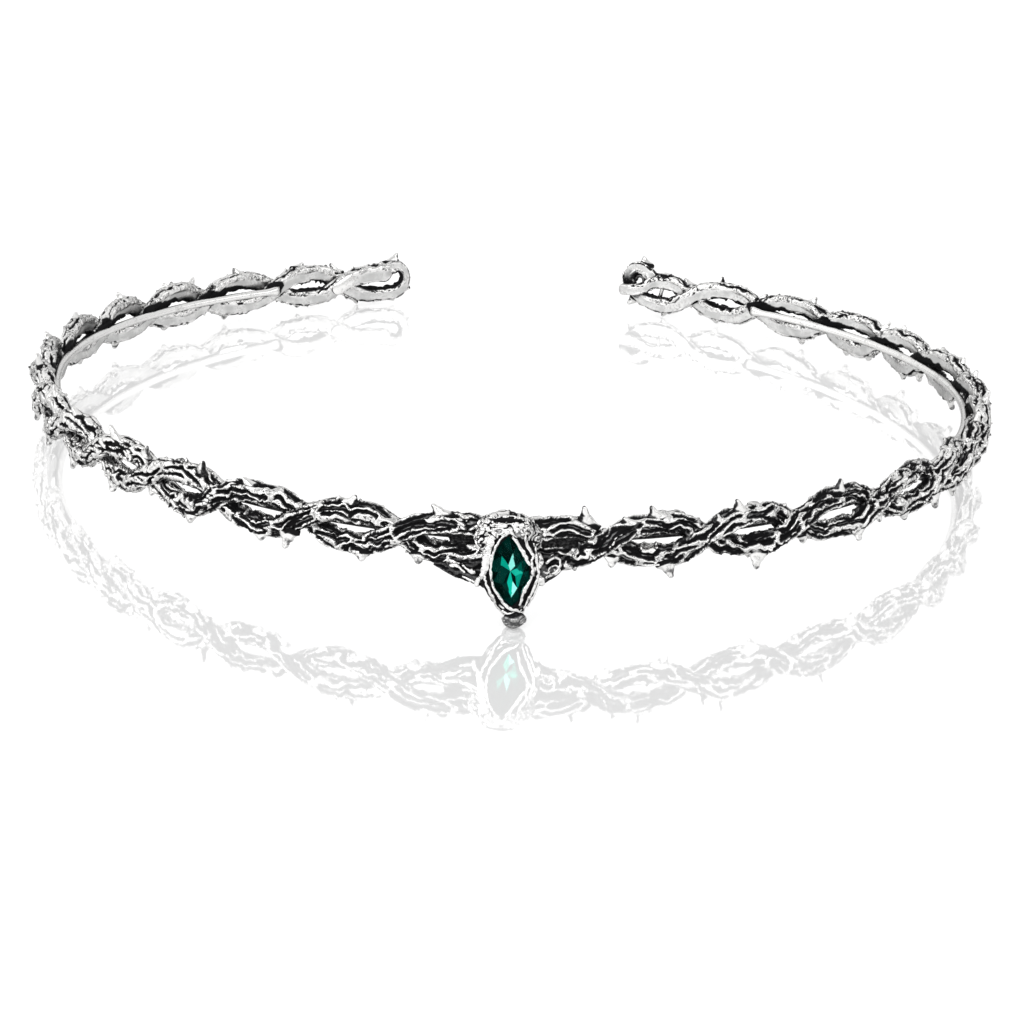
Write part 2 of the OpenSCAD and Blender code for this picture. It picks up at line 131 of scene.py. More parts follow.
def place(along, out, up):
    """Space point of a ring place: the oval's point, moved outwards and lifted."""
    along, out, up = [np.asarray(value, float) for value in (along, out, up)]
    flat = on_oval(along)
    level = np.stack([flat[..., 0], flat[..., 1], up + 0 * along], -1)
    return level + out[..., None] * outwards(along)


# %% From the ring's frame to how the circlet rests
REST_LEAN = math.radians(2.49383)
REST_LIFT = 7.71256
MIDDLE_Y = -6.97902


def at_rest(points):
    """The ring leans back by the rest lean, is lifted onto the floor and centred over it."""
    c, s = math.cos(REST_LEAN), math.sin(REST_LEAN)
    y = points[:, 1] * c + points[:, 2] * s - MIDDLE_Y
    z = points[:, 2] * c - points[:, 1] * s + REST_LIFT
    return np.stack([points[:, 0], y, z], -1) * MM


# %% [markdown]
# ## Randomness that repeats
# Bark looks alive because nothing in it is even. Random heights one step apart, joined by a
# soft blend, give a line that wanders without corners. A fixed seed makes it the same in
# every run.

# %% Wandering lines and surfaces
TABLE = 2048
BAND = 64


def ease(low, high, value):
    """A soft step: the share of the way from low to high, squared times three less twice it."""
    t = np.clip((value - low) / (high - low), 0, 1)
    return t * t * (3 - 2 * t)


def drift(at, spacing, seed):
    """Random heights from -1 to 1, one spacing apart, with a soft step between neighbours."""
    heights = np.random.default_rng(seed).uniform(-1, 1, TABLE)
    cell = np.floor(at / spacing).astype(int)
    part = ease(0, 1, at / spacing - cell)
    return heights[cell % TABLE] * (1 - part) + heights[(cell + 1) % TABLE] * part


def ripple(a, b, spacing_a, spacing_b, seed):
    """The same over a surface: random heights on a net, blended both ways."""
    heights = np.random.default_rng(seed).uniform(-1, 1, (TABLE, BAND))
    i = np.floor(a / spacing_a).astype(int)
    j = np.floor(b / spacing_b).astype(int)
    p = ease(0, 1, a / spacing_a - i)
    q = ease(0, 1, b / spacing_b - j)
    left, right = j % BAND, (j + 1) % BAND
    near = heights[i % TABLE, left] * (1 - q) + heights[i % TABLE, right] * q
    far = heights[(i + 1) % TABLE, left] * (1 - q) + heights[(i + 1) % TABLE, right] * q
    return near * (1 - p) + far * p


print("a wandering line:", np.round(drift(np.arange(0, 4, 0.5), 1.0, 1), 2))

# %% [markdown]
# ## Sections carried along paths
# A branch, a wire, a thorn and a twig are all the same kind of surface: a closed section that
# travels along a path and changes its size on the way. One function puts the section in the
# plane across the path, and another closes the grid of points into a skin with a pole at
# either end, so that every piece is a closed shell.


# %% Path, section and skin
# Length over which the steps grow, points of a section's first outline, and the share of
# points where a section is sparser
STEP_BLEND = 8
OUTLINE_POINTS = 4001
SPARSE = 0.45


def smooth_path(knots, step, far_step=None, near_length=0.0):
    """Rows on a smooth curve through the knots, sampled at even steps of length, or at longer
    steps further than a length from the path's middle. Between two knots it is the cubic that
    has the knots' values and their mean slopes."""
    gaps = np.linalg.norm(np.diff(knots[:, :3], axis=0), axis=1)
    at = np.concatenate([[0], np.cumsum(gaps)])
    slope = np.gradient(knots, at, axis=0)
    s = np.linspace(0, at[-1], int(math.ceil(at[-1] / step)) + 1)
    if far_step:
        from_middle = np.abs(s - at[-1] / 2)
        longer = ease(near_length - STEP_BLEND, near_length + STEP_BLEND, from_middle)
        steps = step + (far_step - step) * longer
        rings = np.concatenate([[0], np.cumsum(step / steps[1:])])
        s = np.interp(np.linspace(0, rings[-1], int(rings[-1])), rings, s)
    i = np.clip(np.searchsorted(at, s, "right") - 1, 0, len(gaps) - 1)
    h = gaps[i][:, None]
    u = (s[:, None] - at[i][:, None]) / h
    start = (1 + 2 * u) * (1 - u) ** 2 * knots[i] + u * (1 - u) ** 2 * h * slope[i]
    finish = u * u * (3 - 2 * u) * knots[i + 1] - u * u * (1 - u) * h * slope[i + 1]
    return s, start + finish


def across(path, face):
    """Frame at each point of a path: the way ahead, the facing made square to it, and up,
    which is the facing crossed with the way ahead."""
    way = unit(np.gradient(path, axis=0))
    face = np.broadcast_to(face, path.shape)
    out = unit(face - np.sum(face * way, -1, keepdims=True) * way)
    return way, out, np.cross(out, way)


def section(count, half_out, half_up, outer=2.0, inner=2.0, fine_reach=None):
    """A closed section as rows of out, up, normal out, normal up and length round it. Out and
    up are powers of a turn's cosine and sine, with one power for the outer half and another
    for the inner half. Past fine_reach from the outer middle the points lie further apart."""
    turn = np.linspace(-np.pi, np.pi, OUTLINE_POINTS)
    c, s = np.cos(turn), np.sin(turn)
    power = np.where(c > 0, 2 / outer, 2 / inner)
    o = half_out * np.sign(c) * np.abs(c) ** power
    u = half_up * np.sign(s) * np.abs(s) ** power
    length = np.concatenate([[0], np.cumsum(np.hypot(np.diff(o), np.diff(u)))])
    round_at = length - length[len(turn) // 2]
    weight = np.ones_like(turn)
    if fine_reach:
        weight = np.where(np.abs(round_at) < fine_reach, 1.0, SPARSE)
    share = np.concatenate([[0], np.cumsum(np.diff(length) * (weight[1:] + weight[:-1]) / 2)])
    at = np.interp(np.arange(count) / count * share[-1], share, round_at)
    o, u = np.interp(at, round_at, o), np.interp(at, round_at, u)
    back_o, back_u = np.roll(o, 1), np.roll(u, 1)
    d = unit(np.stack([np.roll(o, -1) - back_o, np.roll(u, -1) - back_u], -1))
    return np.stack([o, u, d[:, 1], -d[:, 0], at], -1)


def sweep(path, face, shape, size_out=1.0, size_up=1.0):
    """Grid of points and of their normals: the section's out and up, times the path's sizes,
    laid along the frame of the path."""
    _, out, up = across(path, face)
    size_out = np.broadcast_to(np.asarray(size_out, float), len(path))[:, None, None]
    size_up = np.broadcast_to(np.asarray(size_up, float), len(path))[:, None, None]
    o, u = shape[None, :, 0, None] * size_out, shape[None, :, 1, None] * size_up
    grid = path[:, None] + o * out[:, None] + u * up[:, None]
    normal = shape[None, :, 2, None] * out[:, None] + shape[None, :, 3, None] * up[:, None]
    return grid, normal


def skin(grid, *marks):
    """Closed skin over a grid: quads between neighbouring rings, and a fan of triangles from a
    pole at the middle of either end ring. Marks are grids of values that go with the points."""
    rings, columns = grid.shape[:2]
    index = np.arange(rings * columns).reshape(rings, columns)
    side = np.roll(index, -1, axis=1)
    quads = np.stack([index[:-1], index[1:], side[1:], side[:-1]], -1).reshape(-1, 4)
    first, last = rings * columns, rings * columns + 1
    start = np.stack([np.full(columns, first), index[0], side[0]], -1)
    end = np.stack([np.full(columns, last), side[-1], index[-1]], -1)
    poles = np.stack([grid[0].mean(0), grid[-1].mean(0)])
    points = np.concatenate([grid.reshape(-1, 3), poles])
    values = [np.concatenate([m.ravel(), [m[0].mean(), m[-1].mean()]]) for m in marks]
    return points, quads, np.concatenate([start, end]), np.stack(values, -1)


def joined(skins):
    """Several skins as one: their lists in a row, with the points' numbers moved on."""
    points, quads, triangles, marks, count = [], [], [], [], 0
    for p, q, t, m in skins:
        points.append(p)
        quads.append(q + count)
        triangles.append(t + count)
        marks.append(m)
        count += len(p)
    return [np.concatenate(part) for part in (points, quads, triangles, marks)]


# %% From arrays to Blender pieces
# The oxide mark holds the black oxide of the grooves and also painted shade between the parts
MARKS = ("oxide", "satin")


def make_piece(name, skin_parts, material, node="thorn_band"):
    """A mesh object from arrays in the ring's frame, which rides on the only body, stands for
    its CAD node and carries the marks as point attributes."""
    points, quads, triangles, marks = skin_parts
    mesh = bpy.data.meshes.new(name)
    corners = np.concatenate([quads.ravel(), triangles.ravel()])
    sizes = np.concatenate([np.full(len(quads), 4), np.full(len(triangles), 3)])
    mesh.vertices.add(len(points))
    mesh.vertices.foreach_set("co", at_rest(points).ravel())
    mesh.loops.add(len(corners))
    mesh.loops.foreach_set("vertex_index", corners.astype(np.int32))
    mesh.polygons.add(len(sizes))
    starts = np.concatenate([[0], np.cumsum(sizes)[:-1]]).astype(np.int32)
    mesh.polygons.foreach_set("loop_start", starts)
    mesh.polygons.foreach_set("use_smooth", np.full(len(sizes), True))
    for number, label in enumerate(MARKS):
        mark = mesh.attributes.new(label, "FLOAT", "POINT")
        mark.data.foreach_set("value", marks[:, number].astype(np.float32))
    mesh.update(calc_edges=True)
    mesh.validate()
    mesh.materials.append(material)
    piece = bpy.data.objects.new(name, mesh)
    bpy.context.collection.objects.link(piece)
    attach(piece, "root")
    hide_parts(node)
    print(name, "-", 2 * len(quads) + len(triangles), "triangles")


# %% [markdown]
# ## Oxidised silver
# The high cords are white polished silver, and every groove is black with oxide. The shapes
# below know where their grooves are, and store that as a mark called oxide. The same mark also
# carries painted shade, where the parts lie close and hide each other. One node group turns the
# mark into colour and roughness with a little wear, and the materials of the bark and of the
# smooth parts use it with their own values.


# %% The group that wears the oxide off the high places and makes the painted shade dark
def link(tree, source, target):
    """A wire of the node tree."""
    tree.links.new(source, target)


worn_silver_and_shade = bpy.data.node_groups.new("worn_silver_and_shade", "ShaderNodeTree")
for label, value in (("Stain", 0.3), ("Grain", 0.5), ("Pits", 0.5)):
    socket = worn_silver_and_shade.interface.new_socket(name=label, in_out="INPUT", socket_type="NodeSocketFloat")
    socket.default_value = value
outputs = {"Color": "Color", "Roughness": "Float", "Metallic": "Float", "Height": "Float"}
for label, kind in outputs.items():
    worn_silver_and_shade.interface.new_socket(name=label, in_out="OUTPUT", socket_type="NodeSocket" + kind)


def new_node(tree, kind, label=None, **settings):
    """A node with its settings."""
    made = tree.nodes.new(kind)
    made.label = label or ""
    for key, value in settings.items():
        setattr(made, key, value)
    return made


def math_node(tree, operation, first, second, clamp=False):
    """A Math node whose inputs are numbers or wires."""
    made = new_node(tree, "ShaderNodeMath", operation=operation, use_clamp=clamp)
    for slot_number, value in enumerate((first, second)):
        if isinstance(value, (int, float)):
            made.inputs[slot_number].default_value = value
        else:
            link(tree, value, made.inputs[slot_number])
    return made.outputs[0]


def noise(tree, scale, detail, coordinates):
    """Noise on object coordinates, from 0 to 1."""
    made = new_node(tree, "ShaderNodeTexNoise")
    made.inputs["Scale"].default_value = scale
    made.inputs["Detail"].default_value = detail
    link(tree, coordinates, made.inputs["Vector"])
    return made.outputs["Fac"]


def mix_colors(tree, share, first, second):
    """One colour that turns into another by a share."""
    made = new_node(tree, "ShaderNodeMix", data_type="RGBA")
    link(tree, share, made.inputs["Factor"])
    for socket, value in ((made.inputs[6], first), (made.inputs[7], second)):
        if isinstance(value, tuple):
            socket.default_value = value
        else:
            link(tree, value, socket)
    return made.outputs[2]


def between(tree, value, low, high):
    """Share of the way of a value from low to high."""
    made = new_node(tree, "ShaderNodeMapRange", interpolation_type="SMOOTHSTEP")
    link(tree, value, made.inputs["Value"])
    made.inputs["From Min"].default_value = low
    made.inputs["From Max"].default_value = high
    return made.outputs["Result"]


def colour_ramp(tree, first, last, stops):
    """A colour ramp from its first to its last colour, with stops between them."""
    made = new_node(tree, "ShaderNodeValToRGB")
    made.color_ramp.elements[0].color = first
    made.color_ramp.elements[1].color = last
    for stop, colour in stops:
        made.color_ramp.elements.new(stop).color = colour
    return made


def worn_math(operation, first, second, clamp=False):
    """A Math node of the group."""
    return math_node(worn_silver_and_shade, operation, first, second, clamp)


def worn_mix(share, first, second):
    """A colour of the group that turns into another by a share."""
    return mix_colors(worn_silver_and_shade, share, first, second)


# Noise scales for each metre: clouds of 2.4 mm, specks of 0.4, crumbs of 0.3 and grain of 0.14
CLOUDS = 420
SPECKS = 2600
CRUMBS = 3300
GRAINS = 7000
# The black colour serves the oxide and also the painted shade between the parts
BRIGHT_SILVER = (0.93, 0.925, 0.915, 1)
SATIN_SILVER = (0.58, 0.58, 0.575, 1)
PALE_SATIN = (0.78, 0.777, 0.77, 1)
STAINED_SILVER = (0.34, 0.335, 0.33, 1)
DARK_SILVER = (0.15, 0.15, 0.152, 1)
BLACK_OXIDE_AND_SHADE = (0.006, 0.006, 0.0065, 1)

given = new_node(worn_silver_and_shade, "NodeGroupInput")
result = new_node(worn_silver_and_shade, "NodeGroupOutput")
object_place = new_node(worn_silver_and_shade, "ShaderNodeTexCoord").outputs["Object"]
# The oxide mark brings in oxide and painted shade alike
oxide_and_shade_mark = new_node(worn_silver_and_shade, "ShaderNodeAttribute", attribute_name="oxide").outputs["Fac"]
satin_mark = new_node(worn_silver_and_shade, "ShaderNodeAttribute", attribute_name="satin").outputs["Fac"]
cloud = noise(worn_silver_and_shade, CLOUDS, 4, object_place)
speck = noise(worn_silver_and_shade, SPECKS, 3, object_place)
grain = noise(worn_silver_and_shade, GRAINS, 2, object_place)
crumb = noise(worn_silver_and_shade, CRUMBS, 2, object_place)
# Pits lie where crumbs are high, inside the clouds, and never on the satin
pit_zone = worn_math("MULTIPLY", between(worn_silver_and_shade, cloud, 0.44, 0.56), given.outputs["Pits"])
pits = worn_math("MULTIPLY", between(worn_silver_and_shade, crumb, 0.53, 0.63), pit_zone)
pits = worn_math("MULTIPLY", pits, worn_math("SUBTRACT", 1.0, satin_mark))
# Specks fray the mark, which then gives a dark tone and, where it is stronger, black
fray = worn_math("MULTIPLY", worn_math("SUBTRACT", speck, 0.5), 0.5)
frayed = worn_math("ADD", worn_math("MAXIMUM", oxide_and_shade_mark, pits), fray)
tone = between(worn_silver_and_shade, frayed, 0.14, 0.60)
black = between(worn_silver_and_shade, frayed, 0.45, 0.85)
# Stains lie where clouds and specks are high together
spots = worn_math("ADD", worn_math("MULTIPLY", cloud, 0.55), worn_math("MULTIPLY", speck, 0.6))
spots = between(worn_silver_and_shade, spots, 0.60, 0.78)
stain = worn_math("MULTIPLY", spots, given.outputs["Stain"], clamp=True)
satin = worn_mix(between(worn_silver_and_shade, cloud, 0.38, 0.64), SATIN_SILVER, PALE_SATIN)
stained = worn_mix(stain, worn_mix(satin_mark, BRIGHT_SILVER, satin), STAINED_SILVER)
toned = worn_mix(tone, stained, DARK_SILVER)
link(worn_silver_and_shade, worn_mix(black, toned, BLACK_OXIDE_AND_SHADE), result.inputs["Color"])
# Roughness is that of the polish, and more on the satin, the stains and the black
polish = worn_math("ADD", worn_math("MULTIPLY", satin_mark, 0.14), 0.17)
dulled = worn_math("ADD", polish, worn_math("MULTIPLY", stain, 0.25))
rough = worn_math("ADD", dulled, worn_math("MULTIPLY", black, 0.45))
link(worn_silver_and_shade, rough, result.inputs["Roughness"])
link(worn_silver_and_shade, worn_math("SUBTRACT", 1.0, black), result.inputs["Metallic"])
fine = worn_math("MULTIPLY", grain, given.outputs["Grain"])
rough_height = worn_math("SUBTRACT", worn_math("ADD", fine, speck), pits)
link(worn_silver_and_shade, rough_height, result.inputs["Height"])
print("group worn_silver_and_shade has", len(worn_silver_and_shade.nodes), "nodes")


# %% Materials of the bark and of the smooth silver
def grey(value):
    """A grey of one brightness."""
    return (value, value, value, 1)


def new_material(name, values):
    """A material with constants on its shader's own sockets, its node tree and its shader."""
    made = bpy.data.materials.new(name)
    made.use_nodes = True
    shader = made.node_tree.nodes["Principled BSDF"]
    for label, value in values.items():
        shader.inputs[label].default_value = value
    return made, made.node_tree, shader


def silver_material(name, stain_amount, grain_amount, pit_amount, bump_height, bump_share, slant):
    """Principled silver fed by the group: its colour, roughness and metal change with the oxide
    mark, which also carries painted shade, and its grain goes through a Bump node. The shader's
    own tint, a grey of the slant, makes the reflection at a slant darker than the one seen
    straight on."""
    made, tree, shader = new_material(name, {"Specular IOR Level": 0.08, "Specular Tint": grey(slant)})
    worn = new_node(tree, "ShaderNodeGroup", "worn silver and shade", node_tree=worn_silver_and_shade)
    for label, value in (("Stain", stain_amount), ("Grain", grain_amount), ("Pits", pit_amount)):
        worn.inputs[label].default_value = value
    bump = new_node(tree, "ShaderNodeBump")
    bump.inputs["Distance"].default_value = bump_height * MM
    bump.inputs["Strength"].default_value = bump_share
    wires = {"Color": "Base Color", "Roughness": "Roughness", "Metallic": "Metallic"}
    for given_by, taken_by in wires.items():
        link(tree, worn.outputs[given_by], shader.inputs[taken_by])
    link(tree, worn.outputs["Height"], bump.inputs["Height"])
    link(tree, bump.outputs["Normal"], shader.inputs["Normal"])
    return made


bark_silver = silver_material(
    "bark_silver", stain_amount=0.6, grain_amount=0.35, pit_amount=0.7, bump_height=0.10,
    bump_share=0.5, slant=0.50)
smooth_silver = silver_material(
    "smooth_silver", stain_amount=0.45, grain_amount=0.6, pit_amount=0.30, bump_height=0.06,
    bump_share=0.4, slant=0.75)
print("materials:", bark_silver.name, smooth_silver.name)

# %% [markdown]
# ## Two branches that cross fourteen times on each arm
# The band is made of two strands of bark. Each swings up and down like a wave, and where they
# cross one passes outside the other, so the pair makes eyes. The wave is fuller than a sine,
# which keeps the eyes open. Past the last crossing the branches follow rows of their own: a
# loop at the left end, and a curl and a bar at the right end.

# %% Sizes of the weave
BRANCH_W = 2.8
BRANCH_T = 2.2
WEAVE_RISE = 2.3
WEAVE_DEPTH = 0.75
EYES = 14
END_LEN = 13.8
EYE_FULLNESS = 0.08
ROWS_PER_EYE = 4
RIGHT_EYES = [0.9, 1, 1, 1.15, 1.2, 0.9, 0.9, 0.9, 0.9, 1.2, 0.9, 1, 1.05, 0.95]
LEFT_EYES = [1, 0.95, 1, 0.95, 0.95, 1, 1, 1, 1, 1.1, 1, 1, 1.05, 0.95]


def crossings(shares):
    """Length from the front middle to each crossing, by the eyes' shares of the woven run."""
    total = np.concatenate([[0], np.cumsum(shares)])
    return (ARM_LEN - END_LEN) * total / total[-1]


RIGHT_AT = crossings(RIGHT_EYES)
LEFT_AT = crossings(LEFT_EYES)


def eye_place(eyes):
    """Length along the oval at a number of eyes from the front middle, left is negative."""
    eyes = np.asarray(eyes, float)
    left = -np.interp(-eyes, np.arange(EYES + 1), LEFT_AT)
    right = np.interp(eyes, np.arange(EYES + 1), RIGHT_AT)
    return np.where(eyes < 0, left, right)


def weave_out(eyes, branch):
    """Out is the depth times the cosine of half a turn for each eye."""
    return WEAVE_DEPTH * np.cos(np.pi * (eyes + branch))


def weave_up(eyes, branch):
    """Up is the rise times the sine of half a turn for each eye, made fuller by a share of the
    sine of three times that."""
    phase = np.pi * (np.asarray(eyes) + branch)
    wave = (1 + EYE_FULLNESS) * np.sin(phase) + EYE_FULLNESS * np.sin(3 * phase)
    return WEAVE_RISE * wave


# %% The end forms, as rows of along, out, up and size
LEFT_LOOP = [
    [0.16, 0.8, -0.72, 1.00], [0.34, 0.5, -1.05, 1.00], [0.54, 0.2, -1.10, 0.92],
    [0.73, 0.0, -1.02, 0.88], [0.87, 0.0, -0.72, 0.80], [0.94, 0.0, -0.10, 0.70],
    [0.94, 0.0, 0.60, 0.66], [0.86, 0.0, 1.15, 0.66], [0.75, 0.0, 1.10, 0.80],
    [0.62, -0.3, 0.85, 0.50],
]
LEFT_ROOT = [
    [0.15, -1.0, 0.42, 1.00], [0.32, -0.8, 0.66, 1.05], [0.50, -0.6, 0.74, 1.10],
    [0.66, -0.3, 0.82, 1.05], [0.76, -0.1, 1.00, 0.50],
]
RIGHT_CURL = [
    [0.16, -0.9, -0.55, 1.00], [0.32, -0.6, -0.92, 1.00], [0.48, -0.3, -0.98, 0.95],
    [0.64, 0.0, -0.78, 0.90], [0.79, 0.2, -0.30, 0.82], [0.90, 0.4, 0.38, 0.78],
    [0.93, 0.5, 1.08, 0.76], [0.88, 0.5, 1.68, 0.76], [0.79, 0.4, 1.92, 0.76],
    [0.69, 0.2, 1.72, 0.76], [0.61, 0.0, 1.32, 0.82], [0.54, 0.0, 0.98, 0.50],
]
RIGHT_BAR = [
    [0.16, 0.8, 0.60, 1.00], [0.32, 0.5, 0.92, 1.00], [0.46, 0.1, 0.98, 1.00],
    [0.57, -0.6, 0.80, 0.80], [0.68, -1.5, 0.42, 0.70], [0.80, -2.0, 0.24, 0.70],
    [1.03, -2.1, 0.10, 0.78],
]


def end_place(share, side):
    """Length along the oval at a share of an arm's end form."""
    return side * (ARM_LEN - END_LEN + share * END_LEN)


def end_rows(form, side):
    """An end form in millimetres: along, out, up and size."""
    rows = np.array(form)
    along = end_place(rows[:, 0], side)
    return np.stack([along, rows[:, 1] * WEAVE_DEPTH, rows[:, 2] * WEAVE_RISE, rows[:, 3]], -1)


def branch_rows(number, left_form, right_form):
    """All rows of a branch from its left end to its right end."""
    eyes = np.arange(-EYES * ROWS_PER_EYE, EYES * ROWS_PER_EYE + 1) / ROWS_PER_EYE
    woven = np.stack(
        [eye_place(eyes), weave_out(eyes, number), weave_up(eyes, number), 1 + 0 * eyes], -1)
    return np.concatenate([end_rows(left_form, -1)[::-1], woven, end_rows(right_form, 1)])


def branch_path(number, left_form, right_form, step):
    """The branch's smooth path: length, middle points, size and place along the oval."""
    rows = branch_rows(number, left_form, right_form)
    middle = place(rows[:, 0], rows[:, 1], rows[:, 2])
    knots = np.concatenate([middle, rows[:, 3:], rows[:, :1]], 1)
    s, fine_rows = smooth_path(knots, step, FAR_RING_STEP, CLOSE_LENGTH)
    return s, fine_rows[:, :3], fine_rows[:, 3], fine_rows[:, 4]


# Length between two rings at the front and at the back, and how far the front reaches
RING_STEP = 0.165
FAR_RING_STEP = 0.25
CLOSE_LENGTH = 125.0
FORMS = [(0, LEFT_LOOP, RIGHT_BAR), (1, LEFT_ROOT, RIGHT_CURL)]
PATHS = [branch_path(*form, RING_STEP) for form in FORMS]
print("branch lengths:", [round(float(p[0][-1]), 1) for p in PATHS], "mm")

# %% [markdown]
# ## Bark: cords and islands
# Looked at closely, the bark is a net of wavy silver cords round long black islands. It is
# easier to place the islands: they lie in lanes along the branch, each with two rounded ends,
# and what is left between them are cords that join and part. A point's distance from the
# nearest island gives everything: inside, it is a groove and black; outside, the cord rises
# to a rounded crest.

# %% One lane of islands
ISLAND_MIN = 3.6
ISLAND_MAX = 9.0
BRIDGE_MIN = 0.4
BRIDGE_MAX = 1.2
HALF_MIN = 0.26
HALF_MAX = 0.46


def lane_width(s, seed):
    """Half width of a lane's island at each length: full along the island and falling to zero
    at round ends, by one minus a high power of the distance from its middle, rooted. Between
    two islands it is minus the distance to the nearer one."""
    rng = np.random.default_rng(seed)
    count = int((s.max() - s.min()) / (ISLAND_MIN + BRIDGE_MIN)) + 3
    island = rng.uniform(ISLAND_MIN, ISLAND_MAX, count)
    bridge = rng.uniform(BRIDGE_MIN, BRIDGE_MAX, count)
    half_width = rng.uniform(HALF_MIN, HALF_MAX, count)
    first = s.min() - rng.uniform(0, ISLAND_MAX)
    start = first + np.concatenate([[0], np.cumsum(island + bridge)[:-1]])
    k = np.clip(np.searchsorted(start, s, "right") - 1, 0, count - 1)
    x = np.abs(s - start[k] - island[k] / 2) / (island[k] / 2)
    power = np.maximum(island[k] / half_width[k], 2)
    inside = half_width[k] * np.sqrt(np.clip(1 - np.minimum(x, 1) ** power, 0, 1))
    past = np.minimum((x - 1) * island[k] / 2, start[np.minimum(k + 1, count - 1)] - s)
    return np.where(x < 1, inside, -np.clip(past, 0, 0.5))


def lane_field(a, b, lanes, pitch, seed):
    """Distance from the nearest island, negative inside: over all lanes, the least of the
    distance from the lane's wandering middle less the island's half width there."""
    field = np.full(a.shape, 9.0)
    for number, middle in enumerate(lanes):
        own = 0.30 * pitch * drift(a, 2.6, seed + 31 * number)
        width = lane_width(a, seed + 7 * number + 1)
        width = width + np.where(width > 0, 0.08 * drift(a, 0.8, seed + 17 * number), 0)
        field = np.minimum(field, np.abs(b - middle - own) - width)
    return field


# %% The bark of any surface
GROOVE_DEEP = 0.50
CREST_HIGH = 0.20
KNOT_CELL = 1.35
KNOT_HIGH = 0.55
FEWER_PITS = 2.5


def knots_of_bark(a, b, seed):
    """Small knots: one at a random place in each square cell, some flat and a few high. A
    knot's height falls with a power of one less the squared distance from its middle."""
    rng = np.random.default_rng(seed)
    spot = rng.uniform(0.25, 0.75, (2, TABLE, BAND))
    high = rng.uniform(0, 1, (TABLE, BAND)) ** 3
    i = np.floor(a / KNOT_CELL).astype(int)
    j = np.floor(b / KNOT_CELL).astype(int)
    away = (a / KNOT_CELL - i - spot[0, i % TABLE, j % BAND]) ** 2
    away += (b / KNOT_CELL - j - spot[1, i % TABLE, j % BAND]) ** 2
    return KNOT_HIGH * high[i % TABLE, j % BAND] * np.clip(1 - away / 0.07, 0, 1) ** 1.5


def bark(s, v, lanes, pitch, seed, paler=0.0):
    """Height of the bark and its oxide. The islands' field is read at places that three
    wriggles move sideways and one slip moves along. Black worm lines join it in some zones,
    where a slanted ripple is near zero, and pits in others, most at the upper and lower sides.
    Between the islands the height falls by a soft step, and inside it rises to the crest as a
    quarter circle does. The middle of a wide island is a little duller than its edges. Where
    the bark is paler, its grooves are narrower and its pits fewer."""
    a, b = np.broadcast_arrays(s[:, None], v[None])
    jag = 0.12 * ripple(a, b, 0.42, 1.0, seed + 101) + 0.36 * ripple(a, b, 1.0, 1.7, seed + 102)
    swing = 0.46 * ripple(a, b, 2.6, 2.2, seed + 103)
    slip = 1.1 * ripple(a, b, 3.0, 1.2, seed + 104)
    field = lane_field(a + slip, b + jag + swing, lanes, pitch, seed) + paler
    zone = ease(0.08, 0.4, ripple(a, b, 4.2, 2.2, seed + 105))
    worms = 0.75 * np.abs(ripple(a + 0.8 * b + slip, b + 0.2 * a, 0.8, 0.55, seed + 106)) - 0.10
    field = np.minimum(field, worms + 1.2 * (1 - zone))
    ragged = field + 0.045 * ripple(a, b, 0.4, 0.36, seed + 107)
    pitted = 0.3 + 0.7 * ease(-0.1, 0.3, ripple(a, b, 5.0, 1.6, seed + 108))
    pitted = pitted * (0.5 + 0.5 * ease(1.4, 2.2, np.abs(b)))
    pit = ease(0.36, 0.60, ripple(a, b, 0.36, 0.30, seed + 109)) * ease(0.04, 0.12, field) * pitted
    pit = pit * (1 - FEWER_PITS * paler)
    groove = ease(0.03, -0.18, ragged)
    crest = 1 - (1 - np.clip(ragged / 0.22, 0, 1)) ** 2
    streak = ripple(a, b, 1.3, 0.28, seed + 110)
    floor_streak = ease(-0.17, -0.30, field) * ease(-0.35, 0.35, streak)
    height = CREST_HIGH * crest - GROOVE_DEEP * groove - 0.12 * pit + 0.14 * floor_streak
    duller = 0.30 * ease(0.20, 0.34, ragged - paler)
    oxide = np.maximum(np.maximum(ease(0.09, -0.03, ragged), duller), 0.9 * pit)
    oxide = oxide - 0.48 * floor_streak
    return height + knots_of_bark(a, b, seed + 111), oxide


# %% [markdown]
# ## Painted shade between the strands
# Where one strand lies close to the other or to the wire, the silver is painted black: oxide in
# the crevices, and painted shade on the faces that the neighbour hides. For each point the
# distance to the neighbour's path is measured, over the few rings of the neighbour that lie
# nearest, and turned into the same oxide mark. The walls of the holes of the two ends get
# painted shade in the same way, from a line through each hole.


# %% Distance to a neighbour's path
def to_neighbour(grid, middle, path, window, stride):
    """Distance from each point of a grid to a path, and the unit way there. The nearest point
    of the path is found for each ring, and then the points round it are tried in turn."""
    nearest = np.array([np.argmin(np.sum((path - m) ** 2, 1)) for m in middle])
    best = np.full(grid.shape[:2], 1e9)
    way = np.zeros_like(grid)
    for offset in range(-window, window + 1, stride):
        q = path[np.clip(nearest + offset, 0, len(path) - 1)][:, None]
        d = np.linalg.norm(q - grid, axis=-1)
        closer = d < best
        best = np.where(closer, d, best)
        way = np.where(closer[..., None], q - grid, way)
    return best, unit(way + 1e-9)


# %% [markdown]
# ## Where the stone sits
# The stone hangs from the front crossing and has its own small frame: x to the right and z up
# in its face, y into the band. It is set out before the branches are built, because their
# skins are moved back behind it, so that no silver stands in the clear glass.

# %% The setting's own frame
STONE_LEN = 10
STONE_W = 5
STONE_OUT = 2.7
STONE_DROP = 3.2
STONE_SHIFT = 0.9
STONE_TURN = math.radians(4)
ARC = (STONE_LEN**2 / 4 + STONE_W**2 / 4) / STONE_W


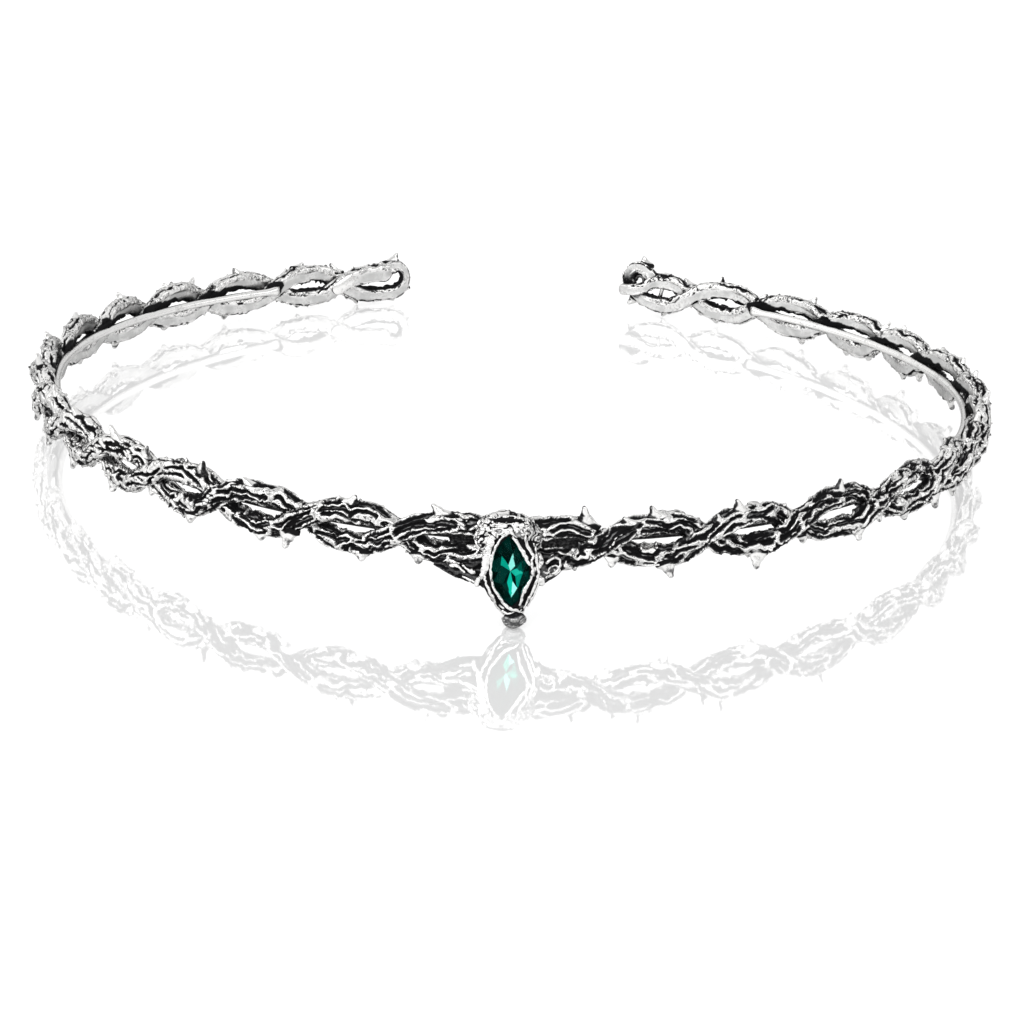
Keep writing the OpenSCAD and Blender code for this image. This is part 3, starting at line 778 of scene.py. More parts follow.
def in_setting(points):
    """Ring frame points of points in the setting's frame: turned in the face and moved out."""
    points = np.asarray(points, float)
    c, s = math.cos(STONE_TURN), math.sin(STONE_TURN)
    x = points[..., 0] * c - points[..., 2] * s + STONE_SHIFT
    z = points[..., 0] * s + points[..., 2] * c - STONE_DROP
    return np.stack([x, points[..., 1] - FRONT_DEPTH - STONE_OUT, z], -1)


def marquise(turn, edge):
    """Outline of the stone grown by edge: two arcs of one circle that meet in points. Turn 0
    is the upper point and goes to the right; the way out blends softly at the points."""
    side = np.where(np.sin(turn) >= 0, 1.0, -1.0)
    half_arc = math.asin(STONE_LEN / 2 / ARC)
    t = np.where(side > 0, turn, 2 * np.pi - turn) / np.pi
    a = half_arc * (1 - 2 * t)
    x = side * (ARC * np.cos(a) - ARC + STONE_W / 2)
    z = ARC * np.sin(a)
    way = unit(np.stack([side * np.cos(a) * ease(0, 0.16, np.minimum(t, 1 - t)), np.sin(a)], -1))
    return x + edge * way[..., 0], z + edge * way[..., 1]


def edge_of(x, z):
    """Distance from the stone's outline, negative inside: the distance from the middle of the
    arc's circle on the other side, less the circle's radius."""
    return np.hypot(np.abs(x) + ARC - STONE_W / 2, z) - ARC


SEAT_BACK = 2.7


def leave_room(points):
    """Skin points that would stand in the stone, moved straight back behind its seat. The move
    fades out just past the outline, inside the cup's wall."""
    c, s = math.cos(STONE_TURN), math.sin(STONE_TURN)
    dx, dz = points[..., 0] - STONE_SHIFT, points[..., 2] + STONE_DROP
    own = np.stack([dx * c + dz * s, points[..., 1] + FRONT_DEPTH + STONE_OUT, dz * c - dx * s], -1)
    deep = own[..., 1]
    share = ease(0.5, 0.1, edge_of(own[..., 0], own[..., 2])) * (deep > -2) * (deep < 4)
    moved = np.array(points)
    moved[..., 1] += share * (np.maximum(deep, SEAT_BACK) - deep)
    return moved


in_the_stone = in_setting([[0, 1, 0]])
print("a point in the stone moves by", np.round(leave_room(in_the_stone) - in_the_stone, 2))

# %% [markdown]
# ## The skins of the branches
# A branch is rounder outside than inside, where it is flat and satin. Its section has some
# seventy points, closer together on the bark, and at the front a ring follows the last one
# after a sixth of a millimetre. Each branch is built as a left and a right half that meet
# inside the setting, so that no piece is too heavy.

# %% Build the branches
COLUMNS = 76
BARK_REACH = 3.05
TOP_REACH = 0.45
SECTION = section(COLUMNS, BRANCH_T / 2, BRANCH_W / 2, 2.3, 4.6, BARK_REACH + 0.3)
LANES = [-2.85, -1.80, -0.72, 0.38, 1.45, 2.55]
LANE_PITCH = 1.08
WIRE_D = 1.3
WIRE_SEAT = 0.2
WIRE_EYES = 13
WIRE_IN = WEAVE_DEPTH + BRANCH_T / 2 + WIRE_D / 2 - WIRE_SEAT
WIRE_RINGS = 521
wire_along = np.linspace(eye_place(-WIRE_EYES), eye_place(WIRE_EYES), WIRE_RINGS)
WIRE_PATH = place(wire_along, -WIRE_IN, 0)
BAR_END = float(end_place(RIGHT_BAR[-1][0], 1))
# Lengths from the front over which the sides, and then the back, of the ring begin
SIDE_ZONE = (55, 80)
BACK_ZONE = (85, 120)
# Lines through the two holes that a branch closes with itself, the loop's near its inner edge;
# the walls that look into them get painted shade
hole_steps = np.linspace(0, 1, 7)
HOLES = [
    place(end_place(0.42 + 0.42 * hole_steps, -1), -1.0, WEAVE_RISE * (-0.3 + 0.5 * hole_steps)),
    place(end_place(0.72 + 0.08 * hole_steps, 1), 0.5, WEAVE_RISE * (0.80 + 0.15 * hole_steps)),
]


def branch_skin(number, first, last, seed):
    """One half of a branch: the section along the path, moved in or out by its bark, by slow
    lumps and by a fine unevenness, with its marks. The bark is paler at the sides of the ring,
    climbs further over the top, most at the back, and stops at the bar of the right end. Faces
    that look at the other strand, at the wire and into an end's hole get painted shade. At the
    sides and back a band of painted shade with a ragged edge lies over the wire."""
    s, middle, size, along = [part[first:last] for part in PATHS[number]]
    other = PATHS[1 - number][1]
    if number == 0:
        size = size * np.sqrt(1 - 0.85 * np.clip((along - BAR_END) / 0.9 + 1, 0, 1) ** 2)
    grid, normal = sweep(middle, outwards(along), SECTION, size, size)
    v = SECTION[:, 4]
    a, b = np.broadcast_arrays(s[:, None], v[None])
    paler = (0.24 * ease(-35, -80, along) + 0.10 * ease(50, 95, along))[:, None]
    height, oxide = bark(s, v, LANES, LANE_PITCH, seed, paler=paler)
    back = ease(*BACK_ZONE, np.abs(along))[:, None]
    reach = BARK_REACH + 0.16 * drift(s, 1.3, seed + 5)
    reach = reach[:, None] + (TOP_REACH + 0.45 * back) * (b > 0)
    outer = ease(reach + 0.12, reach - 0.16, np.abs(b))
    smooth_bar = (ease(ARM_LEN - 2.6, ARM_LEN - 1.2, along) * (number == 0))[:, None]
    outer = outer * (1 - smooth_bar)
    lumps = 0.19 * ripple(a, b, 2.3, 1.5, seed + 6) * (0.2 + 0.8 * outer)
    lumps = lumps + 0.07 * ripple(a, b, 0.5, 0.45, seed + 9) * outer
    relief = (height * outer + lumps) * np.minimum(size, 1)[:, None]
    near, way = to_neighbour(grid, middle, other, 30, 3)
    facing = np.sum(normal * way, -1)
    # Oxide in the crevice where the other strand lies close, and painted shade on faces that look at it
    close = ease(1.75, 1.30, near) * ease(-0.2, 0.25, facing)
    shaded = ease(3.6 + 1.7 * back, 2.2 + 1.7 * back, near) * ease(0.15, 0.6, facing) * 0.95
    shaded = shaded * (0.75 + 0.15 * back + (0.25 - 0.15 * back) * ripple(a, b, 1.6, 0.5, seed + 7))
    # Painted shade on the walls that look into the hole of an end
    hole_near, hole_way = to_neighbour(grid, middle, HOLES[number], 7, 1)
    in_hole = ease(3.4, 2.4, hole_near) * ease(0.15, 0.45, np.sum(normal * hole_way, -1))
    shaded = np.maximum(shaded, 0.92 * in_hole)
    fringe = ease(1.9, 2.4, near) * ease(0.25, 0.8, facing) * ease(3.9, 3.3, near)
    relief = relief + fringe * (0.06 + 0.22 * ripple(a, b, 1.2, 0.8, seed + 8))
    # Painted shade of the wire on the strand beside it, and a ragged band of it over the wire at the
    # sides and back
    wire_near, wire_way = to_neighbour(grid, middle, WIRE_PATH, 6, 1)
    over_wire = ease(0.15, 0.5, -wire_way[..., 2]) * ease(*SIDE_ZONE, np.abs(along))[:, None]
    spread = over_wire * (0.80 + 0.35 * ripple(a, b, 1.6, 1.2, seed + 12))
    beside_wire = ease(1.20, 0.85, wire_near - spread)
    # The painted shade and the crevice oxide join the bark's oxide in one mark
    shade_and_crevice_oxide = np.maximum(np.maximum(close, shaded), beside_wire)
    marks = np.maximum(oxide * outer, shade_and_crevice_oxide)
    return skin(leave_room(grid + relief[..., None] * normal), marks, 1 - outer)


for number in (0, 1):
    split = int(np.argmin(np.abs(PATHS[number][3])))
    total = len(PATHS[number][0])
    for label, first, last in (("left", 0, split + 1), ("right", split, total)):
        seed = 1000 + 300 * number + (150 if label == "right" else 0)
        half = branch_skin(number, first, last, seed)
        make_piece(f"branch_{number + 1}_{label}", half, bark_silver)

# %% [markdown]
# ## Thorns
# The thorns are like those of a rose: steep on one side, with a long slope on the other that
# runs out into the branch, and with a blunt tip. A thorn is a stack of oval rings from inside
# the branch to its tip. The rings get shorter along the branch faster than they get thinner,
# and they are pushed towards the steep side, which leans over a little.

# %% Where the thorns stand
THORN_LEN = 2
THORN_OUT = 0.25
THORN_LEAN = 0.3
# Rows of eye, place along the eye, up (1) or down (-1) and share of the thorn length
LEFT_THORNS = [
    [1, 0.60, 1, 0.8], [1, 0.80, -1, 0.6], [2, 0.45, 1, 0.6], [2, 0.35, -1, 0.5],
    [3, 0.60, 1, 0.4], [3, 0.10, -1, 1.1], [3, 0.45, -1, 0.4], [4, 0.20, 1, 1.0],
    [4, 0.30, -1, 0.6], [4, 0.95, -1, 0.7], [5, 0.10, 1, 1.1], [5, 0.60, 1, 1.0],
    [5, 0.70, -1, 0.9], [6, 0.50, 1, 0.6], [6, 0.65, -1, 1.0], [7, 0.30, 1, 0.9],
    [7, 0.50, -1, 0.9], [8, 0.50, 1, 0.9], [8, 0.35, -1, 0.8], [9, 0.65, 1, 0.6],
    [9, 0.40, -1, 0.8], [10, 0.55, 1, 0.5], [10, 0.60, -1, 0.7], [11, 0.55, 1, 0.7],
    [11, 0.45, -1, 0.8], [12, 0.35, 1, 0.5], [12, 0.85, 1, 0.8], [12, 0.40, -1, 0.5],
    [13, 0.35, -1, 0.7], [13, 0.50, 1, 0.6], [14, 0.40, 1, 0.5], [14, 0.95, 1, 0.9],
    [14, 0.40, -1, 0.4],
]
RIGHT_THORNS = [
    [1, 0.75, 1, 1.1], [2, 0.20, 1, 0.5], [2, 0.45, 1, 0.8], [2, 0.12, -1, 0.7],
    [2, 0.60, -1, 1.0], [3, 0.10, 1, 0.6], [3, 0.30, 1, 0.9], [3, 0.60, -1, 1.1],
    [4, 0.45, 1, 0.9], [4, 0.15, -1, 0.5], [4, 0.75, -1, 0.8], [5, 0.20, 1, 0.6],
    [5, 0.10, -1, 0.7], [5, 0.45, -1, 0.5], [5, 0.90, -1, 1.1], [6, 0.15, 1, 0.9],
    [6, 0.55, -1, 0.7], [7, 0.50, 1, 0.8], [7, 0.35, -1, 0.8], [8, 0.40, 1, 1.1],
    [8, 0.60, -1, 0.7], [9, 0.55, 1, 0.6], [9, 0.45, -1, 0.8], [10, 0.25, 1, 0.5],
    [10, 0.40, -1, 1.1], [11, 0.55, 1, 0.5], [11, 0.08, -1, 1.0], [11, 0.55, -1, 0.9],
    [12, 0.06, 1, 1.0], [12, 0.20, -1, 0.6], [12, 0.65, -1, 0.7], [13, 0.35, -1, 0.7],
    [13, 0.25, 1, 0.6], [13, 0.90, 1, 0.5], [14, 0.55, 1, 0.6], [14, 0.65, -1, 0.5],
    [14, 0.88, -1, 0.6],
]
# Rows of along, out and up as in the end forms, way along the arm, way up and share
LEFT_END_THORNS = [
    [0.27, 0.6, -0.90, 0.0, -1.0, 0.6], [0.80, 0.0, 1.00, 0.1, 1.0, 0.8],
    [0.76, 0.0, -1.00, 0.2, -1.0, 0.3], [0.91, 0.0, -0.40, 1.0, -0.6, 0.3],
]
RIGHT_END_THORNS = [
    [0.40, -0.4, -0.98, 0.0, -1.0, 0.5], [0.74, 0.3, 1.85, -0.1, 1.0, 0.5],
    [0.82, 0.2, -0.20, 0.5, -1.0, 0.9], [0.10, 0.8, 0.42, 0.1, 1.0, 0.5],
]


def sway(i, j):
    """A number from -1 to 1 that differs from thorn to thorn."""
    return math.sin(math.radians(137.5 * i + 71 * j)) * math.cos(math.radians(53 * i - 29 * j))


# %% One thorn
THORN_RINGS = 22
THORN_SIDES = 20
SKIN_AT = 1.15
TIP_HALF = 0.34
BLUNT_TIP_HALF = 0.42
ROUND_SECTION = section(THORN_SIDES, 1, 1)


def thorn_skin(foot, way, branch_way, share, steep):
    """Rings from inside the branch to the tip. With x the share of the height over the bark,
    the half length is the tip's plus a foot's times a power of one minus x, the half
    thickness likewise with a lower power, and the tip closes as a half ball does. The steep
    side gets painted shade, less at the ring's sides. Thorns without one have a blunter tip
    of grey tone."""
    way = unit(np.array(way))
    flat = unit(branch_way - np.dot(branch_way, way) * way)
    reach = BRANCH_W / 2 + share * THORN_LEN
    turn = np.linspace(0, 1, THORN_RINGS)
    tip = TIP_HALF if steep else BLUNT_TIP_HALF
    level = 0.5 + (reach - 0.5) * (1 - (1 - turn) ** 1.5)
    x = np.clip((level - SKIN_AT) / (reach - SKIN_AT), 0, 1)
    ball = np.sqrt(np.clip(1 - np.clip((level - reach + tip) / tip, 0, 1) ** 2, 0.02, 1))
    foot_long = 0.8 + 0.6 * share
    half_long = (tip + foot_long * (1 - x) ** 1.8) * ball
    half_thick = (tip + 0.32 * (1 - x) ** 1.5) * ball
    push = steep * (-0.66 * foot_long * (1 - x) ** 1.8 + 0.25 * share * x**2)
    middle = foot + level[:, None] * way + push[:, None] * flat
    sheet = ROUND_SECTION[None, :, 4] + 9 * share + 5 * foot[0]
    climb = 3 * level[:, None] + 0 * sheet
    rough = 1 + 0.16 * ripple(climb, sheet, 1.1, 0.8, 17)
    o = ROUND_SECTION[None, :, 0, None] * half_thick[:, None, None] * rough[..., None]
    u = ROUND_SECTION[None, :, 1, None] * half_long[:, None, None] * rough[..., None]
    grid = middle[:, None] + o * np.cross(flat, way) + u * flat
    blotch = ripple(climb, sheet, 1.4, 0.9, 19)
    foot_dark = ease(0.16, 0.0, x[:, None] + 0.12 * blotch)
    # Painted shade on the steep side, less at the sides of the ring
    less_shade_at_sides = 0.65 * float(ease(40, 65, abs(foot[0])))
    facing = steep * ROUND_SECTION[None, :, 1] + 0.5 * blotch
    painted_side_shade = ease(0.35, 0.8, facing) * (0.8 - less_shade_at_sides)
    grey_tip = (0.20 + 0.32 * ease(0.1, 0.6, blotch)) * ease(0.2, 0.5, x[:, None]) * (steep == 0)
    return skin(grid, np.maximum(np.maximum(foot_dark, painted_side_shade), grey_tip), 0.15 + 0 * foot_dark)


thorns = []
for side, rows in ((-1, LEFT_THORNS), (1, RIGHT_THORNS)):
    for number, (eye, part, up, share) in enumerate(rows):
        eyes = side * (eye - 1 + part)
        branch = 0 if weave_up(eyes, 0) * up > 0 else 1
        along = float(eye_place(eyes))
        foot = place(along, weave_out(eyes, branch), weave_up(eyes, branch))
        lean = sway(number, side)
        way = THORN_OUT * outwards(np.array(along)) + THORN_LEAN * lean * ahead(np.array(along))
        way[2] = up
        slope = unit(place(eye_place(eyes + 0.05), 0, weave_up(eyes + 0.05, branch))
                     - place(eye_place(eyes - 0.05), 0, weave_up(eyes - 0.05, branch)))
        # Thorns that point down have no steep side
        steep = 0 if up < 0 else -1 if side > 0 or lean < 0 else 1
        thorns.append(thorn_skin(foot, way, slope, share, steep))
for side, rows in ((-1, LEFT_END_THORNS), (1, RIGHT_END_THORNS)):
    for along_share, out, up, way_along, way_up, share in rows:
        along = np.array(float(end_place(along_share, side)))
        foot = place(along, out * WEAVE_DEPTH, up * WEAVE_RISE)
        way = side * way_along * ahead(along) + THORN_OUT * outwards(along)
        way[2] += way_up
        thorns.append(thorn_skin(foot, way, ahead(along), share, side))
make_piece("thorns", joined(thorns), smooth_silver)

# %% [markdown]
# ## Wire, plate and twig
# A plain round wire lies along the inside and keeps the band in its oval. At its ends it is
# flattened onto the branch. A small plain plate lies over the last crossing on the
# left. On the right a thin twig divides the last eye, and another one is rolled up in the curl
# at the very end.

# %% Support wire
WIRE_SIDES = 20
wire_turn = np.linspace(-1, 1, len(wire_along))
ends = ease(0.985, 1.0, np.abs(wire_turn))
wire_shape = section(WIRE_SIDES, WIRE_D / 2, WIRE_D / 2)
uneven = 0.02 * drift(wire_along + 300, 4.0, 61)
wire_grid, wire_normal = sweep(
    WIRE_PATH, outwards(wire_along), wire_shape, 1 + uneven - 0.25 * ends, 1 - uneven + 0.45 * ends)
wire_out = np.sum(wire_normal * outwards(wire_along)[:, None], -1)
streaks = drift(wire_shape[None, :, 4] * 3 + 0 * wire_out, 0.5, 63)
# The side of the wire that faces the band is darker, oxide and painted shade, with more painted shade
# where a branch lies close
wire_oxide_and_shade = ease(0.05, 0.45, wire_out) * (0.62 + 0.3 * streaks)
for number in (0, 1):
    near = to_neighbour(wire_grid, WIRE_PATH, PATHS[number][1], 12, 2)[0]
    wire_oxide_and_shade = np.maximum(wire_oxide_and_shade, ease(1.30, 1.12, near))
make_piece("support_wire", skin(wire_grid, wire_oxide_and_shade, 0.1 + 0 * wire_oxide_and_shade), smooth_silver)

# %% Plain plate
PLATE_LEN = 5
PLATE_W = 2.5
PLATE_T = 0.3


def slab_skin(middle, long_way, wide_way, half_long, half_wide, half_thick):
    """A flat slab with round ends and a soft edge. Its rings are stadiums that shrink towards
    either face, by a superellipse of the height over its middle."""
    turn = np.linspace(0, 2 * np.pi, 64, endpoint=False)
    straight = half_long - half_wide
    x = half_wide * np.cos(turn) + straight * np.tanh(8 * np.cos(turn))
    y = half_wide * np.sin(turn)
    tilt = np.linspace(-np.pi / 2, np.pi / 2, 15)[1:-1]
    level = half_thick * np.sign(np.sin(tilt)) * np.abs(np.sin(tilt)) ** 0.5
    shrink = half_wide - 0.14 * (1 - np.abs(np.cos(tilt)) ** 0.5)
    scale = shrink / half_wide
    up = np.cross(long_way, wide_way)
    grid = (middle + level[:, None, None] * up
            + scale[:, None, None] * (x[None, :, None] * long_way + y[None, :, None] * wide_way))
    rim = ease(0.95, 0.70, np.abs(np.sin(tilt)))[:, None] + 0 * x[None]
    return skin(grid, 0.8 * rim, 0.1 + 0 * rim)


plate_along = eye_place(-EYES)
near = 0.1 - EYES
slope = math.atan2(weave_up(near, 1), float(eye_place(near) - plate_along))
plate_way = ahead(plate_along)
plate_long = math.cos(slope) * plate_way + math.sin(slope) * np.array([0, 0, 1])
plate_out = outwards(plate_along)
plate_middle = place(plate_along, -WEAVE_DEPTH - BRANCH_T / 2 - PLATE_T / 2 + BRANCH_T / 4, 0)
plate_wide = np.cross(plate_out, plate_long)
make_piece("plain_plate", slab_skin(
    plate_middle, plate_long, plate_wide, PLATE_LEN / 2, PLATE_W / 2,
    PLATE_T / 2 + BRANCH_T / 4), smooth_silver)


# %% Twig across the last eye of the right arm
def tube_skin(knots, radii, face, step=0.15, sides=16, wobble=0.0, seed=1, oxide=0.0, flat=1.0):
    """A round tube along a smooth path through the knots, with its own radius at each knot, a
    wobble of its surface and ends that close as half balls do."""
    rows = np.concatenate([np.array(knots, float), np.array(radii, float)[:, None]], 1)
    s, fine_rows = smooth_path(rows, step)
    radius = fine_rows[:, 3]
    end = np.minimum(s, s[-1] - s)
    ball = np.sqrt(np.clip(1 - np.clip(1 - end / radius, 0, 1) ** 2, 0.03, 1))
    shape = section(sides, 1, 1)
    grid, normal = sweep(fine_rows[:, :3], face, shape, radius * ball * flat, radius * ball)
    a, b = np.broadcast_arrays(s[:, None], shape[None, :, 4] * radius.mean())
    relief = wobble * (ripple(a, b, 0.9, 0.8, seed) + 0.6 * ripple(a, b, 0.4, 0.4, seed + 1))
    dark = oxide + ease(0.35, 0.75, -ripple(a, b, 0.5, 0.4, seed + 2)) * (6 * wobble)
    return skin(grid + relief[..., None] * normal, np.clip(dark, 0, 1), 0.2 + 0 * dark)


# The way out of the ring near its right end, 200 mm from the front
RIGHT_END_OUT = outwards(np.array(200.0))
twig_ends = [place(end_place(0.42, 1), 0, 0.9 * WEAVE_RISE), place(end_place(0.445, 1), -0.1, 0),
             place(end_place(0.47, 1), 0, -0.9 * WEAVE_RISE)]
make_piece("cross_twig", tube_skin(
    twig_ends, [0.55, 0.40, 0.6], RIGHT_END_OUT, wobble=0.05, oxide=0.3), smooth_silver)

# %% Twig rolled up in the curl
CURL_KNOTS = 12
curl_turn = np.linspace(-0.5, 5.2, CURL_KNOTS)
curl_along = end_place(0.770 + 0.058 * np.cos(curl_turn), 1)
curl_up = (0.86 + 0.34 * np.sin(curl_turn)) * WEAVE_RISE
make_piece("curl_twig", tube_skin(
    place(curl_along, 0.45 - 0.10 * curl_turn, curl_up), np.linspace(0.42, 0.26, CURL_KNOTS),
    RIGHT_END_OUT, wobble=0.04, oxide=0.55), smooth_silver)

# %% [markdown]
# ## The setting
# The stone sits in a cup of black bark that hangs from the front crossing. Silver cords flow
# round the cup like roots: an inner lip that holds the stone, a broad smooth strip on the
# left, two long wavy cords on the right, and a swirl of ridges that climbs over the top of
# the band. The cup is one surface of rings round the stone, and each cord is a tube whose
# path is given by rows on the face and then laid on the cup.

# %% The cup
# Rows of scale, edge and depth of the cup, from its seat over the lip to its back
CUP = np.array([
    [0.05, 0.0, 2.45], [0.35, 0.0, 2.05], [0.70, 0.0, 1.15], [1.0, 0.12, 0.22],
    [1.0, 0.12, -0.12], [1.0, 0.06, -0.26], [1.0, 0.16, -0.44], [1.0, 0.42, -0.34],
    [1.0, 0.70, 0.02], [1.0, 1.00, 0.05], [1.0, 1.35, 0.25], [1.0, 1.55, 0.85],
    [1.0, 1.55, 1.80], [1.0, 1.30, 2.70], [1.0, 0.60, 3.10], [0.7, 0.0, 3.15], [0.2, 0.0, 3.15],
])
CUP_COLUMNS = 220
CUP_STEP = 0.14


def cup_skin(seed):
    """Rings round the stone through the cup's rows, roughened outside the lip."""
    _, rows = smooth_path(CUP, CUP_STEP)
    turn = np.linspace(0, 2 * np.pi, CUP_COLUMNS, endpoint=False)
    x, z = marquise(turn[None], rows[:, 1:2])
    scale = np.minimum(rows[:, :1], 1)
    y = rows[:, 2:3] + 0 * x
    grid = np.stack([x * scale, y, z * scale], -1)
    slide = np.gradient(grid, axis=0)
    rim = np.roll(grid, -1, 1) - np.roll(grid, 1, 1)
    normal = unit(np.cross(slide, rim))
    length = turn[None] * 4.2 + 0 * x
    step = np.cumsum(np.full(len(rows), CUP_STEP))[:, None] + 0 * x
    outside = ease(0.3, 0.8, rows[:, 1:2]) + 0 * x
    coarse = ripple(length, step, 0.9, 0.5, seed)
    rough = 0.16 * coarse + 0.08 * ripple(length, step, 0.35, 0.3, seed + 1)
    worn = ease(0.35, 0.7, ripple(length, step, 0.8, 0.4, seed + 2))
    oxide = 1 - 0.75 * worn * outside
    grid = grid + (rough * outside)[..., None] * normal
    return skin(in_setting(grid), oxide, 0 * oxide)


make_piece("setting_cup", cup_skin(71), bark_silver)

# %% Cords round the cup, as rows of x, z and radius
LEFT_STRIP = [
    [-0.9, 6.3, 0.30], [-1.35, 5.9, 0.38], [-2.2, 4.8, 0.48], [-2.8, 3.6, 0.60],
    [-3.1, 2.2, 0.68], [-3.3, 0.8, 0.62], [-3.65, -0.3, 0.46], [-3.95, -0.9, 0.40],
    [-4.3, -1.5, 0.46],
]
LIP_LEFT = [
    [-0.25, 5.25, 0.16], [-0.6, 5.1, 0.18], [-1.2, 4.6, 0.20], [-1.85, 3.7, 0.20],
    [-2.35, 2.4, 0.20], [-2.65, 0.6, 0.20], [-2.6, -0.7, 0.21], [-2.3, -2.1, 0.22],
    [-1.7, -3.4, 0.23], [-0.97, -4.6, 0.25], [-0.2, -5.3, 0.30], [0.53, -5.65, 0.30],
    [1.1, -6.1, 0.26],
]
OUTER_LEFT = [
    [-3.55, -0.4, 0.16], [-3.45, -1.2, 0.20], [-3.05, -2.5, 0.22], [-2.45, -3.75, 0.27],
    [-2.2, -4.6, 0.24], [-1.7, -5.6, 0.20], [-1.1, -6.4, 0.20],
]
RIGHT_STRIP = [
    [0.4, 5.1, 0.16], [0.75, 4.6, 0.22], [1.3, 3.6, 0.26], [1.85, 2.6, 0.28],
    [2.3, 1.6, 0.24], [2.6, 0.8, 0.16],
]
LONG_RIGHT = [
    [2.0, 5.3, 0.20], [2.15, 4.2, 0.22], [2.6, 3.0, 0.24], [3.05, 2.2, 0.26],
    [2.85, 1.25, 0.22], [3.0, 0.1, 0.22], [2.8, -0.9, 0.22], [2.2, -1.9, 0.26],
    [1.85, -2.5, 0.34], [1.6, -3.2, 0.22], [1.3, -4.2, 0.20], [1.05, -5.0, 0.18],
]
OUTER_RIGHT = [
    [2.6, 5.0, 0.18], [3.1, 3.9, 0.20], [3.5, 2.6, 0.20], [3.55, 1.6, 0.22],
    [3.65, 0.5, 0.22], [3.75, -0.4, 0.22], [3.45, -1.6, 0.22], [3.0, -2.6, 0.24],
    [2.45, -3.75, 0.22], [1.85, -5.0, 0.20], [1.45, -6.1, 0.20],
]
RIGHT_SWELL = [[3.7, 2.3, 0.20], [4.05, 1.6, 0.36], [4.05, 0.9, 0.40], [3.8, 0.2, 0.25]]
LOW_RIGHT = [
    [4.0, -0.8, 0.15], [3.75, -2.0, 0.18], [3.2, -3.3, 0.20], [2.6, -4.4, 0.18], [2.1, -5.4, 0.16],
]
FOOT_UPPER = [[-1.3, -5.6, 0.16], [-0.75, -6.1, 0.20], [0.0, -6.1, 0.18], [0.4, -5.85, 0.14]]
FOOT_LOWER = [[-1.5, -6.2, 0.20], [-0.6, -6.65, 0.24], [0.5, -6.55, 0.24], [1.7, -6.2, 0.18]]
CUP_CORDS = [LEFT_STRIP, LIP_LEFT, OUTER_LEFT, RIGHT_STRIP, LONG_RIGHT, OUTER_RIGHT, RIGHT_SWELL,
             LOW_RIGHT, FOOT_UPPER, FOOT_LOWER]
# How far a cord stands over the cup, the way that it faces, and how flat each one is
CORD_RISE = 0.14
FORWARD = np.array([0.0, -1.0, 0.0])
CUP_CORDS_FLAT = [0.6, 1, 1, 0.8, 1, 1, 0.8, 1, 1, 1]
# Depth of the cup's face by the distance from the stone's edge
FACE_EDGE = [-0.4, 0.1, 0.45, 0.7, 1.0, 1.35, 1.7, 2.4]
FACE_DEPTH = [-0.25, -0.40, -0.30, 0.00, 0.05, 0.25, 0.85, 1.6]


def on_cup(x, z):
    """Depth of the cup's face: the point's distance from the arcs, looked up in the rows."""
    return np.interp(edge_of(x, z), FACE_EDGE, FACE_DEPTH)


def laid_cord(rows, depth_of, flat, seed, wobble=0.05, jitter=0.06):
    """A cord laid on a face: its depth is the face's, less the rise. Its path is made uneven by
    small random moves at every third of a millimetre."""
    _, rows = smooth_path(np.array(rows, float), 0.34)
    count = np.arange(len(rows))
    rows[:, 0] += jitter * drift(count, 1.0, seed + 40)
    rows[:, 1] += jitter * drift(count, 1.0, seed + 41)
    rows[:, 2] *= 1 + 0.12 * drift(count, 1.0, seed + 42)
    depth = depth_of(rows[:, 0], rows[:, 1]) - CORD_RISE
    knots = in_setting(np.stack([rows[:, 0], depth, rows[:, 1]], -1))
    return tube_skin(
        knots, rows[:, 2], FORWARD, step=0.11, sides=18, wobble=wobble, seed=seed, flat=flat)


cords = [laid_cord(rows, on_cup, flat, 80 + 3 * n)
         for n, (rows, flat) in enumerate(zip(CUP_CORDS, CUP_CORDS_FLAT))]
make_piece("setting_cords", joined(cords), bark_silver)


# %% [markdown]
# ## Saddle, lumps and webs
# Over the stone the bark swells into a saddle that wraps the top of the band, with pale lumps
# and a small round bead at the stone's upper point. On its left the ridges turn in a swirl.
# On either side a web of bark fills the corner between the band and the cup, and ends in a
# short thorn. Swellings are stretched balls, and the ridges are again cords laid on them.


# %% A swelling of bark
SWELLING_PITCH = 0.95


def mottle(a, b, size, seed):
    """Pale skin with black worm lines: where a ripple that slips about is near zero, the height
    falls and the oxide rises. Small lumps of the same size lie under it."""
    slip = 0.5 * ripple(a, b, 1.3, 1.1, seed)
    sway_up = 0.4 * ripple(a, b, 1.1, 1.4, seed + 1)
    line = np.abs(ripple(a + slip, b + sway_up, size, size, seed + 2)) - 0.24
    height = 0.20 * ease(-0.24, 0.25, line) + 0.16 * ripple(a, b, size, size, seed + 3)
    return height, ease(0.10, -0.08, line)


